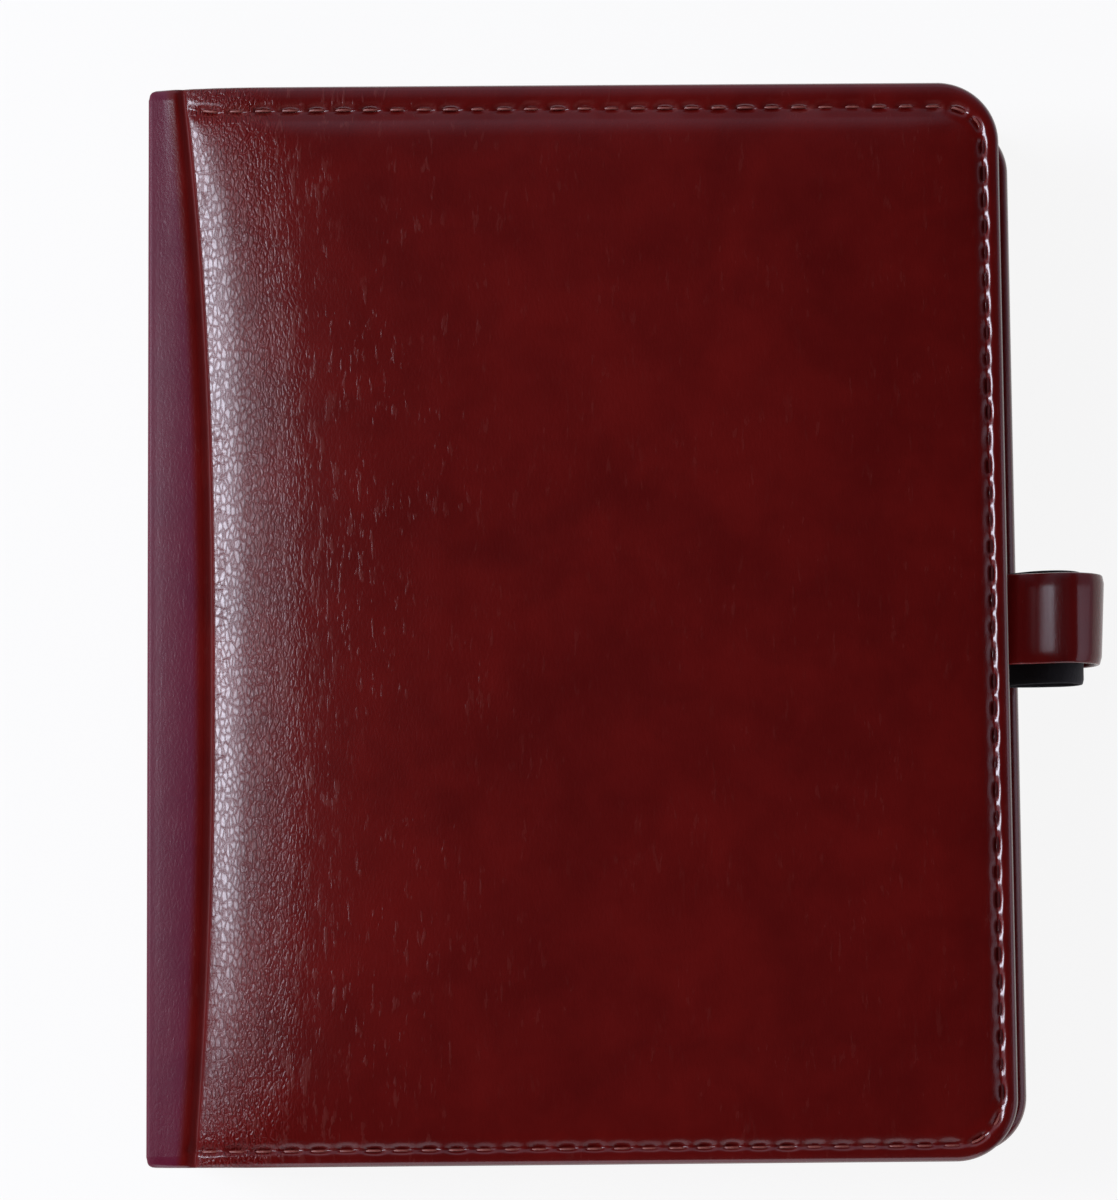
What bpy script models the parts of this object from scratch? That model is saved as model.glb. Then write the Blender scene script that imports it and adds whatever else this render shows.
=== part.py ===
"""Pocket planner: a ring book in a padded, stitched leather cover, closed and lying on its back cover.

Sizes are in millimetres and are scaled to metres when a mesh is made. The working frame has x = 0 at the
spine's outer face and x growing towards the fore edge, y = 0 half way up the page with y growing towards the
head, and z = 0 at the back cover's flat face with z growing towards the front cover.
"""

import math

import bpy
import numpy as np
from mathutils import Vector
from mathutils.geometry import tessellate_polygon

for old in list(bpy.data.objects):
    bpy.data.objects.remove(old, do_unlink=True)

# Driving sizes
COVER_HEIGHT = 140.0
FRONT_WIDTH = 111.0
BACK_OVERHANG = 4.0
CORNER_RADIUS = 9.0
SKIN = 0.9
FOAM = 1.4
BOARD = 1.2
LINING = 0.5
POCKET_SHEET = 0.4
CROWN_INSET = 13.0
RIM_WIDTH = 4.0
GROOVE_X = 6.9
GROOVE_DEPTH = 2.6
SHOULDER_RUN = 6.6
STRIP_FALL = 1.2
PAGE_WIDTH = 81.0
PAGE_HEIGHT = 120.0
PAGE_STACK = 4.2
PAGE_CORNER = 4.0
HOLE_DIAMETER = 5.0
HOLE_TO_PAGE_EDGE = 5.0
TAB_REACH = 9.0
RING_INNER_DIAMETER = 11.0
WIRE_DIAMETER = 1.8
RING_PITCH = 19.0
RING_MIDDLE_GAP = 25.5
RING_OPENING_DEG = 7.0
HOUSING_WIDTH = 10.4
HOUSING_RISE = 2.6
HOUSING_PLATE = 0.8
LOOP_WIDTH = 12.0
LOOP_DIAMETER = 11.8
LOOP_BAND = 1.0
LOOP_SHIFT = 0.3
ELASTIC_WIDTH = 15.0
ELASTIC_SHIFT = -0.7
ELASTIC_BAND = 0.7
PEN_DIAMETER = 6.4
TONGUE_LENGTH = 10.7
LOOP_OVERLAP = 1.0
RAIL_PLATE = 0.6
RAIL_END = 4.0
RIVET_DIAMETER = 2.2
RIVET_HEAD_DIAMETER = 3.8
RIVET_HEAD_RISE = 0.8
LEVER_PLATE = 0.9
LEVER_REACH = 6.4
LEVER_CURL = 1.9

# Clearances between neighbouring pieces
LAYER_GAP = 0.15
SHEET_GAP = 0.12
FOLD_GAP = 0.35
TURN_GAP = 0.5
NOTCH_GAP = 0.4
HOLE_GAP = 0.35
TIP_GAP = 0.1
SIDE_GAP = 0.2

MM = 0.001

# Depths below a cover's flat face, from the outside inwards
FOAM_TOP = SKIN + LAYER_GAP
FOAM_BOTTOM = FOAM_TOP + FOAM
BOARD_TOP = FOAM_BOTTOM + LAYER_GAP
BOARD_BOTTOM = BOARD_TOP + BOARD
RIM_BOTTOM = BOARD_BOTTOM
LINING_TOP = RIM_BOTTOM + LAYER_GAP
LINING_BOTTOM = LINING_TOP + LINING
POCKET_TOP = LINING_BOTTOM + LAYER_GAP
POCKET_BOTTOM = POCKET_TOP + POCKET_SHEET

# Spine layers, from the outer face inwards
SPINE_BOARD_IN = SKIN + LAYER_GAP
SPINE_BOARD_OUT = SPINE_BOARD_IN + BOARD
SPINE_LINING_IN = SPINE_BOARD_OUT + LAYER_GAP
SPINE_INNER = SPINE_LINING_IN + LINING

# Ring mechanism
WIRE_RADIUS = WIRE_DIAMETER / 2
RING_RADIUS = RING_INNER_DIAMETER / 2 + WIRE_RADIUS
RING_OUTER = RING_RADIUS + WIRE_RADIUS
HOUSING_HALF = HOUSING_WIDTH / 2
HOUSING_BASE = SPINE_INNER + LAYER_GAP
HOUSING_LIP = HOUSING_PLATE + 0.6
HOUSING_INSIDE = HOUSING_HALF - HOUSING_PLATE
HOUSING_CROWN = HOUSING_BASE + HOUSING_LIP + HOUSING_RISE
RING_X = HOUSING_CROWN + PAGE_STACK + LAYER_GAP + RIVET_HEAD_RISE + 0.45
RAIL_INNER_X = HOUSING_CROWN - HOUSING_PLATE - 0.8
RAIL_OUTER_X = HOUSING_BASE + RAIL_PLATE
RAIL_INNER_Z = LAYER_GAP
RAIL_OUTER_Z = HOUSING_INSIDE - 0.25
RAIL_PIVOT_X = RAIL_OUTER_X - RAIL_PLATE / 2
RAIL_PIVOT_Z = RAIL_OUTER_Z + 0.1
RING_RISE = math.sin(math.radians(RING_OPENING_DEG)) * (RING_X - RAIL_PIVOT_X)
RING_YS = [
    sign * (RING_MIDDLE_GAP / 2 + step * RING_PITCH)
    for sign, step in ((-1, 2), (-1, 1), (-1, 0), (1, 0), (1, 1), (1, 2))
]
RAIL_HALF = RING_YS[-1] + WIRE_DIAMETER + RAIL_END
RIVET_RADIUS = RIVET_DIAMETER / 2
RIVET_HEAD = RIVET_HEAD_DIAMETER / 2
RIVET_Y = RAIL_HALF + RIVET_RADIUS + 1.7
HOUSING_END = RIVET_Y + RIVET_HEAD + 0.8
LEVER_HALF = HOUSING_HALF * 0.7

# Whole book
THICKNESS = 2 * (LINING_BOTTOM + RING_OUTER + RING_RISE + TURN_GAP)
MIDDLE = THICKNESS / 2
BACK_WIDTH = FRONT_WIDTH + BACK_OVERHANG
HALF_HEIGHT = COVER_HEIGHT / 2

# Fold lines between the spine and the two covers
STRIP = SKIN + 0.1
STRIP_LIP = 0.7
STRIP_TOP_DEPTH = GROOVE_DEPTH - 0.3
STRIP_END_DEPTH = STRIP_TOP_DEPTH + STRIP_FALL
FOLD_X = SKIN / 2
FOLD_DEPTH = STRIP_END_DEPTH + STRIP / 2
STRIP_END_X = FOLD_X + FOLD_GAP
SPINE_LOW = FOLD_DEPTH + STRIP / 2 + FOLD_GAP
SPINE_BOARD_LOW = SPINE_LOW + FOLD_GAP
CAVITY_X = GROOVE_X + 2.9
CAVITY_WALL = 0.2

# Pen loop
LOOP_RADIUS = LOOP_DIAMETER / 2
LOOP_X = BACK_WIDTH + LOOP_RADIUS - LOOP_OVERLAP
LOOP_Z = POCKET_TOP + LOOP_RADIUS
LOOP_TONGUE_X = BACK_WIDTH - TONGUE_LENGTH
LOOP_RIGHT = LOOP_X + LOOP_RADIUS
ELASTIC_RADIUS = min(PEN_DIAMETER / 2 + ELASTIC_BAND, LOOP_RADIUS - LOOP_BAND - LAYER_GAP)
ELASTIC_OFF = (LOOP_RADIUS - LOOP_BAND - LAYER_GAP - ELASTIC_RADIUS) * math.sqrt(0.5)

X_CENTRE = LOOP_RIGHT / 2

# Colours are linear; each row is red, green, blue, roughness, metallic
LEATHER = (0.074, 0.0065, 0.0070, 0.34, 0.0)
LOOP_LEATHER = (0.095, 0.0075, 0.0085, 0.36, 0.0)
FOAM_LOOK = (0.62, 0.60, 0.55, 0.95, 0.0)
BOARD_LOOK = (0.36, 0.29, 0.20, 0.90, 0.0)
LINING_LOOK = (0.060, 0.0060, 0.0065, 0.55, 0.0)
ELASTIC_LOOK = (0.008, 0.008, 0.009, 0.80, 0.0)
METAL_LOOK = (0.72, 0.72, 0.74, 0.16, 1.0)
PAPER_LOOK = (0.80, 0.78, 0.71, 0.90, 0.0)
DIVIDER_LOOK = (0.55, 0.42, 0.30, 0.80, 0.0)
FLYLEAF_LOOK = (0.62, 0.64, 0.66, 0.40, 0.0)


def add_object(name, points, faces, look, pivot=(0.0, 0.0, 0.0)):
    """Adds one closed mesh, its origin at pivot, with its faces turned out and a material of its own."""
    points = np.asarray(points, float)
    corners = [points[list(face)] for face in faces]
    volume = sum(
        np.dot(c[0], np.cross(c[k], c[k + 1])) for c in corners for k in range(1, len(c) - 1)
    )
    if volume < 0:
        faces = [tuple(reversed(face)) for face in faces]
    mesh = bpy.data.meshes.new(name)
    mesh.from_pydata(((points - pivot) * MM).tolist(), [], [tuple(map(int, face)) for face in faces])
    mesh.update()
    material = bpy.data.materials.new(name + "_material")
    material.use_nodes = True
    shader = material.node_tree.nodes["Principled BSDF"]
    shader.inputs["Base Color"].default_value = (*look[:3], 1.0)
    shader.inputs["Roughness"].default_value = look[3]
    shader.inputs["Metallic"].default_value = look[4]
    mesh.materials.append(material)
    made = bpy.data.objects.new(name, mesh)
    made.location = (np.asarray(pivot) - (X_CENTRE, 0.0, 0.0)) * MM
    bpy.context.scene.collection.objects.link(made)
    return made


def rounded_box(x0, x1, y0, y1, radii, steps=5):
    """An anticlockwise outline; radii are for the corners (x1, y1), (x0, y1), (x0, y0) and (x1, y0)."""
    outline = []
    corners = ((x1, y1, -1, -1, 0), (x0, y1, 1, -1, 90), (x0, y0, 1, 1, 180), (x1, y0, -1, 1, 270))
    for (x, y, to_x, to_y, start), radius in zip(corners, radii):
        if radius <= 0:
            outline.append((x, y))
            continue
        for step in range(steps + 1):
            angle = math.radians(start + 90 * step / steps)
            centre_x = x + to_x * radius
            centre_y = y + to_y * radius
            outline.append((centre_x + radius * math.cos(angle), centre_y + radius * math.sin(angle)))
    return outline


def circle(x, y, radius, steps):
    turns = [2 * math.pi * (step + 0.5) / steps for step in range(steps)]
    return [(x + radius * math.cos(turn), y + radius * math.sin(turn)) for turn in turns]


def prism(name, loops, layers, axes, look, pivot=(0.0, 0.0, 0.0)):
    """A solid from an outline and its holes, repeated at each layer (distance, shift) and joined by walls.

    The outline's two coordinates and the distance go to the three letters of axes, and the shift moves a layer
    along the outline's first coordinate.
    """
    flat = np.array([point for loop in loops for point in loop])
    order = ["xyz".index(letter) for letter in axes]
    points = []
    for distance, shift in layers:
        layer = np.zeros((len(flat), 3))
        layer[:, order[0]] = flat[:, 0] + shift
        layer[:, order[1]] = flat[:, 1]
        layer[:, order[2]] = distance
        points.append(layer)
    cap = tessellate_polygon([[Vector((u, v, 0.0)) for u, v in loop] for loop in loops])
    faces = []
    top = len(flat) * (len(layers) - 1)
    for a, b, c in cap:
        (ua, va), (ub, vb), (uc, vc) = flat[a], flat[b], flat[c]
        if (ub - ua) * (vc - va) - (uc - ua) * (vb - va) < 0:
            b, c = c, b
        faces.append((top + a, top + b, top + c))
        faces.append((a, c, b))
    start = 0
    for number, loop in enumerate(loops):
        size = len(loop)
        area = sum(
            loop[k][0] * loop[(k + 1) % size][1] - loop[(k + 1) % size][0] * loop[k][1] for k in range(size)
        )
        outward = (area > 0) == (number == 0)
        for level in range(len(layers) - 1):
            low = len(flat) * level + start
            high = low + len(flat)
            for k in range(size):
                after = (k + 1) % size
                wall = (low + k, low + after, high + after, high + k)
                faces.append(wall if outward else wall[::-1])
        start += size
    return add_object(name, np.concatenate(points), faces, look, pivot)


def stack(name, rounds, along, centre, steps, look, pivot=(0.0, 0.0, 0.0)):
    """A turned solid: circles (distance, radius) along one axis, capped at both ends."""
    axis = "xyz".index(along)
    side, up = (k for k in range(3) if k != axis)
    points = []
    for distance, radius in rounds:
        for u, v in circle(0.0, 0.0, radius, steps):
            point = list(centre)
            point[axis] = distance
            point[side] += u
            point[up] += v
            points.append(point)
    faces = [tuple(range(steps))[::-1]]
    for level in range(len(rounds) - 1):
        low = level * steps
        for k in range(steps):
            after = (k + 1) % steps
            faces.append((low + k, low + after, low + steps + after, low + steps + k))
    last = (len(rounds) - 1) * steps
    faces.append(tuple(range(last, last + steps)))
    return add_object(name, points, faces, look, pivot)


def wire(name, path, y, look, pivot):
    """A round wire along a path of (x, z) points in the plane of that y."""
    steps = 8
    path = np.asarray(path)
    ways = np.gradient(path, axis=0)
    ways /= np.linalg.norm(ways, axis=1)[:, None]
    points = []
    for (x, z), (way_x, way_z) in zip(path, ways):
        for u, v in circle(0.0, 0.0, WIRE_RADIUS, steps):
            points.append((x - way_z * u, y + v, z + way_x * u))
    faces = [tuple(range(steps))[::-1]]
    for level in range(len(path) - 1):
        low = level * steps
        for k in range(steps):
            after = (k + 1) % steps
            faces.append((low + k, low + after, low + steps + after, low + steps + k))
    last = (len(path) - 1) * steps
    faces.append(tuple(range(last, last + steps)))
    return add_object(name, points, faces, look, pivot)


# Cover shape as depth below the flat face

EDGE_INSETS = CROWN_INSET * np.array([0.0, 0.03, 0.085, 0.17, 0.31, 0.5, 0.75, 1.0])
EDGE_DEPTHS = RIM_BOTTOM * np.array([0.76, 0.58, 0.475, 0.43, 0.29, 0.14, 0.03, 0.0])
HINGE_XS = np.concatenate(
    [
        [STRIP_END_X, GROOVE_X - STRIP_LIP, GROOVE_X],
        GROOVE_X + SHOULDER_RUN * np.array([0.1, 0.23, 0.41, 0.7, 1.0]),
    ]
)
HINGE_DEPTHS = np.concatenate(
    [
        [STRIP_END_DEPTH, STRIP_TOP_DEPTH, GROOVE_DEPTH],
        GROOVE_DEPTH * np.array([0.65, 0.35, 0.135, 0.03, 0.0]),
    ]
)
THINNEST = 0.5


def edge_depth(inset):
    return np.interp(inset, EDGE_INSETS, EDGE_DEPTHS)


def hinge_depth(x):
    return np.interp(x, HINGE_XS, HINGE_DEPTHS)


def outer_depth(x, inset):
    """Depth of the leather's outer face: the deeper of its rounded edge and its hinge groove."""
    strip_bottom = np.where(x <= GROOVE_X, hinge_depth(x) + STRIP, RIM_BOTTOM)
    return np.minimum(np.maximum(hinge_depth(x), edge_depth(inset)), strip_bottom - THINNEST)


def skin_inner_depth(x, inset):
    """Depth of the leather's inner face: a strip at the hinge, a rim all round and the padding's hollow."""
    strip = np.where(x <= GROOVE_X, hinge_depth(x) + STRIP, RIM_BOTTOM)
    hollow = (x >= CAVITY_X + CAVITY_WALL / 2) & (inset >= RIM_WIDTH + CAVITY_WALL / 2)
    return np.where(hollow, outer_depth(x, inset) + SKIN, strip)


def grid_lines(low, high, low_lines, edge_lines):
    """Sorted line positions from low to high: low_lines as they are, edge_lines measured in from high."""
    lines = [value for value in low_lines if low <= value <= high]
    lines += [high - value for value in edge_lines if high - value > max(lines) + CAVITY_WALL / 2]
    return np.array(sorted(lines))


def panel(name, width, x_lines, edge_lines, corner, outside, inside, face_z, sense, look, pivot):
    """A sheet over the cover's plan, with round corners at the fore edge.

    x_lines are lines from the hinge side and edge_lines are insets from the other three edges. outside and
    inside give the depth below the face of the two sides, and sense is the direction of depth along z.
    """
    least = min(edge_lines)
    xs = grid_lines(x_lines[0], width, x_lines, edge_lines)
    half = grid_lines(0.0, HALF_HEIGHT, [0.0], edge_lines)
    ys = np.concatenate([-half[:0:-1], half])
    x, y = np.meshgrid(xs, ys, indexing="ij")
    from_side = width - x
    from_end = HALF_HEIGHT - np.abs(y)
    inset = np.minimum(from_side, from_end)
    across = CORNER_RADIUS - from_side
    along = CORNER_RADIUS - from_end
    in_corner = (across > 0) & (along > 0)
    reach = np.maximum(across, along)
    turn = np.where(
        across >= along,
        along / np.maximum(across, 1e-9),
        2.0 - across / np.maximum(along, 1e-9),
    ) * (math.pi / 4)
    plan_x = np.where(in_corner, width - CORNER_RADIUS + reach * np.cos(turn), x)
    plan_y = np.where(in_corner, np.sign(y) * (HALF_HEIGHT - CORNER_RADIUS + reach * np.sin(turn)), y)
    outer_z = face_z + sense * outside(plan_x, inset)
    inner_z = face_z + sense * inside(plan_x, inset)
    count_x, count_y = x.shape
    size = count_x * count_y
    points = np.concatenate(
        [
            np.stack([plan_x, plan_y, outer_z], axis=-1).reshape(-1, 3),
            np.stack([plan_x, plan_y, inner_z], axis=-1).reshape(-1, 3),
        ]
    )
    index = np.arange(size).reshape(count_x, count_y)
    faces = []
    for i in range(count_x - 1):
        for j in range(count_y - 1):
            quad = (index[i, j], index[i + 1, j], index[i + 1, j + 1], index[i, j + 1])
            faces.append(quad)
            faces.append(tuple(size + k for k in quad[::-1]))
    border = list(index[:-1, 0]) + list(index[-1, :-1]) + list(index[:0:-1, -1]) + list(index[0, :0:-1])
    for k, corner_a in enumerate(border):
        corner_b = border[(k + 1) % len(border)]
        faces.append((corner_b, corner_a, corner_a + size, corner_b + size))
    return add_object(name, points, faces, look, pivot)


def level(depth):
    """A flat side at that depth."""
    return lambda x, inset: np.full(np.shape(x), depth)


def below_skin(x, inset):
    return np.minimum(outer_depth(x, inset) + FOAM_TOP, FOAM_BOTTOM - THINNEST / 2)


SKIN_EDGE_LINES = sorted([*EDGE_INSETS, RIM_WIDTH + CAVITY_WALL, CORNER_RADIUS])
SKIN_X_LINES = sorted([*HINGE_XS, CAVITY_X, CAVITY_X + CAVITY_WALL])
INNER_INSET = RIM_WIDTH + CAVITY_WALL + SIDE_GAP
INNER_X = CAVITY_X + CAVITY_WALL + SIDE_GAP
FOAM_EDGE_LINES = [INNER_INSET, CORNER_RADIUS * 0.75, CORNER_RADIUS, CROWN_INSET]
FOAM_X_LINES = [INNER_X, GROOVE_X + SHOULDER_RUN * 0.7, GROOVE_X + SHOULDER_RUN]
LINING_INSET = 1.2
LINING_X = GROOVE_X + 1.1
LINING_EDGE_LINES = [LINING_INSET, CORNER_RADIUS * 0.5, CORNER_RADIUS]

BACK_PIVOT = (0.0, 0.0, 0.0)
SPINE_PIVOT = (FOLD_X, 0.0, FOLD_DEPTH)
FRONT_PIVOT = (FOLD_X, 0.0, THICKNESS - FOLD_DEPTH)
RING_PIVOT = (RING_X, 0.0, MIDDLE)
UPPER_RAIL_PIVOT = (RAIL_PIVOT_X, 0.0, MIDDLE + RAIL_PIVOT_Z)
LOWER_RAIL_PIVOT = (RAIL_PIVOT_X, 0.0, MIDDLE - RAIL_PIVOT_Z)


def cover(prefix, width, face_z, sense, pivot):
    """Leather, padding, stiff card and lining of one cover."""
    panel(
        prefix + "_skin", width, SKIN_X_LINES, SKIN_EDGE_LINES, CORNER_RADIUS,
        outer_depth, skin_inner_depth, face_z, sense, LEATHER, pivot,
    )
    panel(
        prefix + "_foam", width, FOAM_X_LINES, FOAM_EDGE_LINES, CORNER_RADIUS,
        below_skin, level(FOAM_BOTTOM), face_z, sense, FOAM_LOOK, pivot,
    )
    panel(
        prefix + "_board", width, [INNER_X], FOAM_EDGE_LINES[:3], CORNER_RADIUS,
        level(BOARD_TOP), level(BOARD_BOTTOM), face_z, sense, BOARD_LOOK, pivot,
    )
    panel(
        prefix + "_lining", width, [LINING_X], LINING_EDGE_LINES, CORNER_RADIUS,
        level(LINING_TOP), level(LINING_BOTTOM), face_z, sense, LINING_LOOK, pivot,
    )


cover("back", BACK_WIDTH, 0.0, 1.0, BACK_PIVOT)
cover("front", FRONT_WIDTH, THICKNESS, -1.0, FRONT_PIVOT)

# Pockets on the two linings, clear of the rings
POCKET_X = RING_X + RING_OUTER + 1.5
POCKET_INSET = LINING_INSET + 0.6
POCKET_RADIUS = CORNER_RADIUS - POCKET_INSET
POCKET_HALF = HALF_HEIGHT - POCKET_INSET
prism(
    "front_pocket",
    [
        rounded_box(
            POCKET_X, FRONT_WIDTH - POCKET_INSET, -POCKET_HALF, POCKET_HALF,
            (POCKET_RADIUS, 0.0, 0.0, POCKET_RADIUS),
        )
    ],
    [(THICKNESS - POCKET_BOTTOM, 0.0), (THICKNESS - POCKET_TOP, 0.0)],
    "xyz", LINING_LOOK, FRONT_PIVOT,
)
SLOT_STEP = 16.0
SLOT_INSET = 1.2
SLOT_X = POCKET_X + SLOT_INSET
SLOT_RIGHT = FRONT_WIDTH - POCKET_INSET - SLOT_INSET
SLOT_LOW = -POCKET_HALF + SLOT_INSET
SLOT_HIGH = SLOT_LOW + SLOT_STEP * 4.2
for slot in range(3):
    slot_top = POCKET_BOTTOM + LAYER_GAP + slot * (POCKET_SHEET + LAYER_GAP)
    slot_corner = max(POCKET_RADIUS - SLOT_INSET, 1.0)
    prism(
        "card_slot_%d" % (slot + 1),
        [
            rounded_box(
                SLOT_X, SLOT_RIGHT, SLOT_LOW, SLOT_HIGH - slot * SLOT_STEP,
                (1.0, 1.0, 0.0, slot_corner),
            )
        ],
        [(THICKNESS - slot_top - POCKET_SHEET, 0.0), (THICKNESS - slot_top, 0.0)],
        "xyz", LINING_LOOK, FRONT_PIVOT,
    )
BACK_POCKET_RIGHT = LOOP_TONGUE_X - 1.5
prism(
    "back_pocket",
    [
        rounded_box(
            POCKET_X, BACK_POCKET_RIGHT, -POCKET_HALF, POCKET_HALF * 0.62,
            (2.0, 2.0, 0.0, 2.0),
        )
    ],
    [(POCKET_TOP, 0.0), (POCKET_BOTTOM, 0.0)],
    "xyz", LINING_LOOK, BACK_PIVOT,
)

# Pen loop on the back cover: a tongue lying on the lining that runs out into a round loop
LOOP_STEPS = 24
tongue_angle = math.pi + math.asin((LOOP_RADIUS - LOOP_BAND) / LOOP_RADIUS)
loop_sweep = np.linspace(-math.pi / 2, tongue_angle, LOOP_STEPS)
loop_outline = [(LOOP_TONGUE_X, LOOP_Z - LOOP_RADIUS)]
loop_outline += [(LOOP_X + LOOP_RADIUS * math.cos(a), LOOP_Z + LOOP_RADIUS * math.sin(a)) for a in loop_sweep]
loop_outline += [(LOOP_TONGUE_X, LOOP_Z - LOOP_RADIUS + LOOP_BAND)]
prism(
    "pen_loop_band",
    [loop_outline, circle(LOOP_X, LOOP_Z, LOOP_RADIUS - LOOP_BAND, LOOP_STEPS)],
    [(LOOP_SHIFT - LOOP_WIDTH / 2, 0.0), (LOOP_SHIFT + LOOP_WIDTH / 2, 0.0)],
    "xzy", LOOP_LEATHER, BACK_PIVOT,
)
prism(
    "pen_loop_elastic",
    [
        circle(LOOP_X - ELASTIC_OFF, LOOP_Z - ELASTIC_OFF, ELASTIC_RADIUS, LOOP_STEPS),
        circle(LOOP_X - ELASTIC_OFF, LOOP_Z - ELASTIC_OFF, ELASTIC_RADIUS - ELASTIC_BAND, LOOP_STEPS),
    ],
    [(ELASTIC_SHIFT - ELASTIC_WIDTH / 2, 0.0), (ELASTIC_SHIFT + ELASTIC_WIDTH / 2, 0.0)],
    "xzy", ELASTIC_LOOK, BACK_PIVOT,
)

# Spine wall
SPINE_CHAMFER = 0.4
spine_high = THICKNESS - SPINE_LOW
prism(
    "spine_skin",
    [
        [
            (SPINE_CHAMFER, SPINE_LOW),
            (SKIN, SPINE_LOW),
            (SKIN, spine_high),
            (SPINE_CHAMFER, spine_high),
            (0.0, spine_high - SPINE_CHAMFER),
            (0.0, SPINE_LOW + SPINE_CHAMFER),
        ]
    ],
    [(-HALF_HEIGHT, 0.0), (HALF_HEIGHT, 0.0)],
    "xzy", LEATHER, SPINE_PIVOT,
)
SPINE_END_INSET = 2.0
for name, near, far, look in (
    ("spine_board", SPINE_BOARD_IN, SPINE_BOARD_OUT, BOARD_LOOK),
    ("spine_lining", SPINE_LINING_IN, SPINE_INNER, LINING_LOOK),
):
    low = SPINE_BOARD_LOW
    high = THICKNESS - SPINE_BOARD_LOW
    prism(
        name,
        [[(near, low), (far, low), (far, high), (near, high)]],
        [(-HALF_HEIGHT + SPINE_END_INSET, 0.0), (HALF_HEIGHT - SPINE_END_INSET, 0.0)],
        "xzy", look, SPINE_PIVOT,
    )

# Ring housing: an arch with a slot at its rim for each half ring and a square hole at each end for a rivet


def pierced_plate(name, outer, inner, keep, look, pivot):
    """A plate between two grids of points, left out where keep is false, with walls round what is left."""
    rows, columns = outer.shape[:2]
    size = rows * columns
    points = np.concatenate([outer.reshape(-1, 3), inner.reshape(-1, 3)])
    index = np.arange(size).reshape(rows, columns)
    padded = np.zeros((rows + 1, columns + 1), bool)
    padded[1:-1, 1:-1] = keep
    faces = []
    for i, j in zip(*np.nonzero(keep)):
        ring = (index[i, j], index[i + 1, j], index[i + 1, j + 1], index[i, j + 1])
        faces.append(ring)
        faces.append(tuple(size + k for k in ring[::-1]))
        beside = (padded[i + 1, j], padded[i + 2, j + 1], padded[i + 1, j + 2], padded[i, j + 1])
        for k, filled in enumerate(beside):
            if not filled:
                start, end = ring[k], ring[(k + 1) % 4]
                faces.append((end, start, start + size, end + size))
    used = sorted({corner for face in faces for corner in face})
    place = {corner: k for k, corner in enumerate(used)}
    return add_object(name, points[used], [[place[k] for k in face] for face in faces], look, pivot)


NOTCH_HALF = WIRE_RADIUS + NOTCH_GAP
NOTCH_IN = 0.58
RIVET_HOLE = RIVET_RADIUS + SIDE_GAP
half_lines = [RIVET_HOLE / HOUSING_HALF, 0.4, NOTCH_IN, 0.79, 1.0]
arch_lines = np.array([-line for line in half_lines[::-1]] + [0.0] + half_lines)
arch_x = HOUSING_BASE + HOUSING_LIP + HOUSING_RISE * (1.0 - arch_lines**2)
outer_x = np.concatenate([[HOUSING_BASE], arch_x, [HOUSING_BASE]])
inner_x = np.concatenate([[HOUSING_BASE], arch_x - HOUSING_PLATE, [HOUSING_BASE]])
outer_z = MIDDLE + HOUSING_HALF * np.concatenate([[-1.0], arch_lines, [1.0]])
inner_z = MIDDLE + HOUSING_INSIDE * np.concatenate([[-1.0], arch_lines, [1.0]])
notch_ys = [ring_y + step for ring_y in RING_YS for step in (-NOTCH_HALF, NOTCH_HALF)]
rivet_ys = [sign * RIVET_Y + step for sign in (-1.0, 1.0) for step in (-RIVET_HOLE, RIVET_HOLE)]
housing_ys = np.array(sorted([-HOUSING_END, HOUSING_END, *notch_ys, *rivet_ys]))
outer_grid = np.stack(np.broadcast_arrays(outer_x[:, None], housing_ys[None, :], outer_z[:, None]), axis=-1)
inner_grid = np.stack(np.broadcast_arrays(inner_x[:, None], housing_ys[None, :], inner_z[:, None]), axis=-1)
cell_across = np.abs((outer_z[1:] + outer_z[:-1]) / 2 - MIDDLE) / HOUSING_HALF
cell_y = (housing_ys[1:] + housing_ys[:-1]) / 2
in_notch_y = (np.abs(cell_y[:, None] - np.array(RING_YS)[None, :]) < NOTCH_HALF).any(axis=1)
at_rivet_y = np.abs(np.abs(cell_y) - RIVET_Y) < RIVET_HOLE
notched = (cell_across > NOTCH_IN)[:, None] & in_notch_y[None, :]
holed = (cell_across < RIVET_HOLE / HOUSING_HALF)[:, None] & at_rivet_y[None, :]
pierced_plate("ring_housing", outer_grid, inner_grid, ~(notched | holed), METAL_LOOK, SPINE_PIVOT)
RIVET_STEPS = 14
for end, sign in (("head", 1.0), ("tail", -1.0)):
    place = (0.0, sign * RIVET_Y, MIDDLE)
    stack(
        end + "_rivet",
        [
            (HOUSING_BASE, RIVET_RADIUS),
            (HOUSING_CROWN + LAYER_GAP, RIVET_RADIUS),
            (HOUSING_CROWN + LAYER_GAP, RIVET_HEAD),
            (HOUSING_CROWN + LAYER_GAP + 0.4 * RIVET_HEAD_RISE, RIVET_HEAD * 0.95),
            (HOUSING_CROWN + LAYER_GAP + 0.85 * RIVET_HEAD_RISE, RIVET_HEAD * 0.6),
            (HOUSING_CROWN + LAYER_GAP + RIVET_HEAD_RISE, RIVET_HEAD * 0.2),
        ],
        "x", place, RIVET_STEPS, METAL_LOOK, SPINE_PIVOT,
    )

# Rails and half rings, in an upper and a lower set
ARC_END_DEG = 135.0
ARC_STEPS = 10
STEM_Z = RAIL_OUTER_Z - 0.4


def rail_top(across):
    """The rail's face towards the rings, a straight slope from its inner to its outer edge."""
    return np.interp(across, [RAIL_INNER_Z, RAIL_OUTER_Z], [RAIL_INNER_X, RAIL_OUTER_X])


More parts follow.
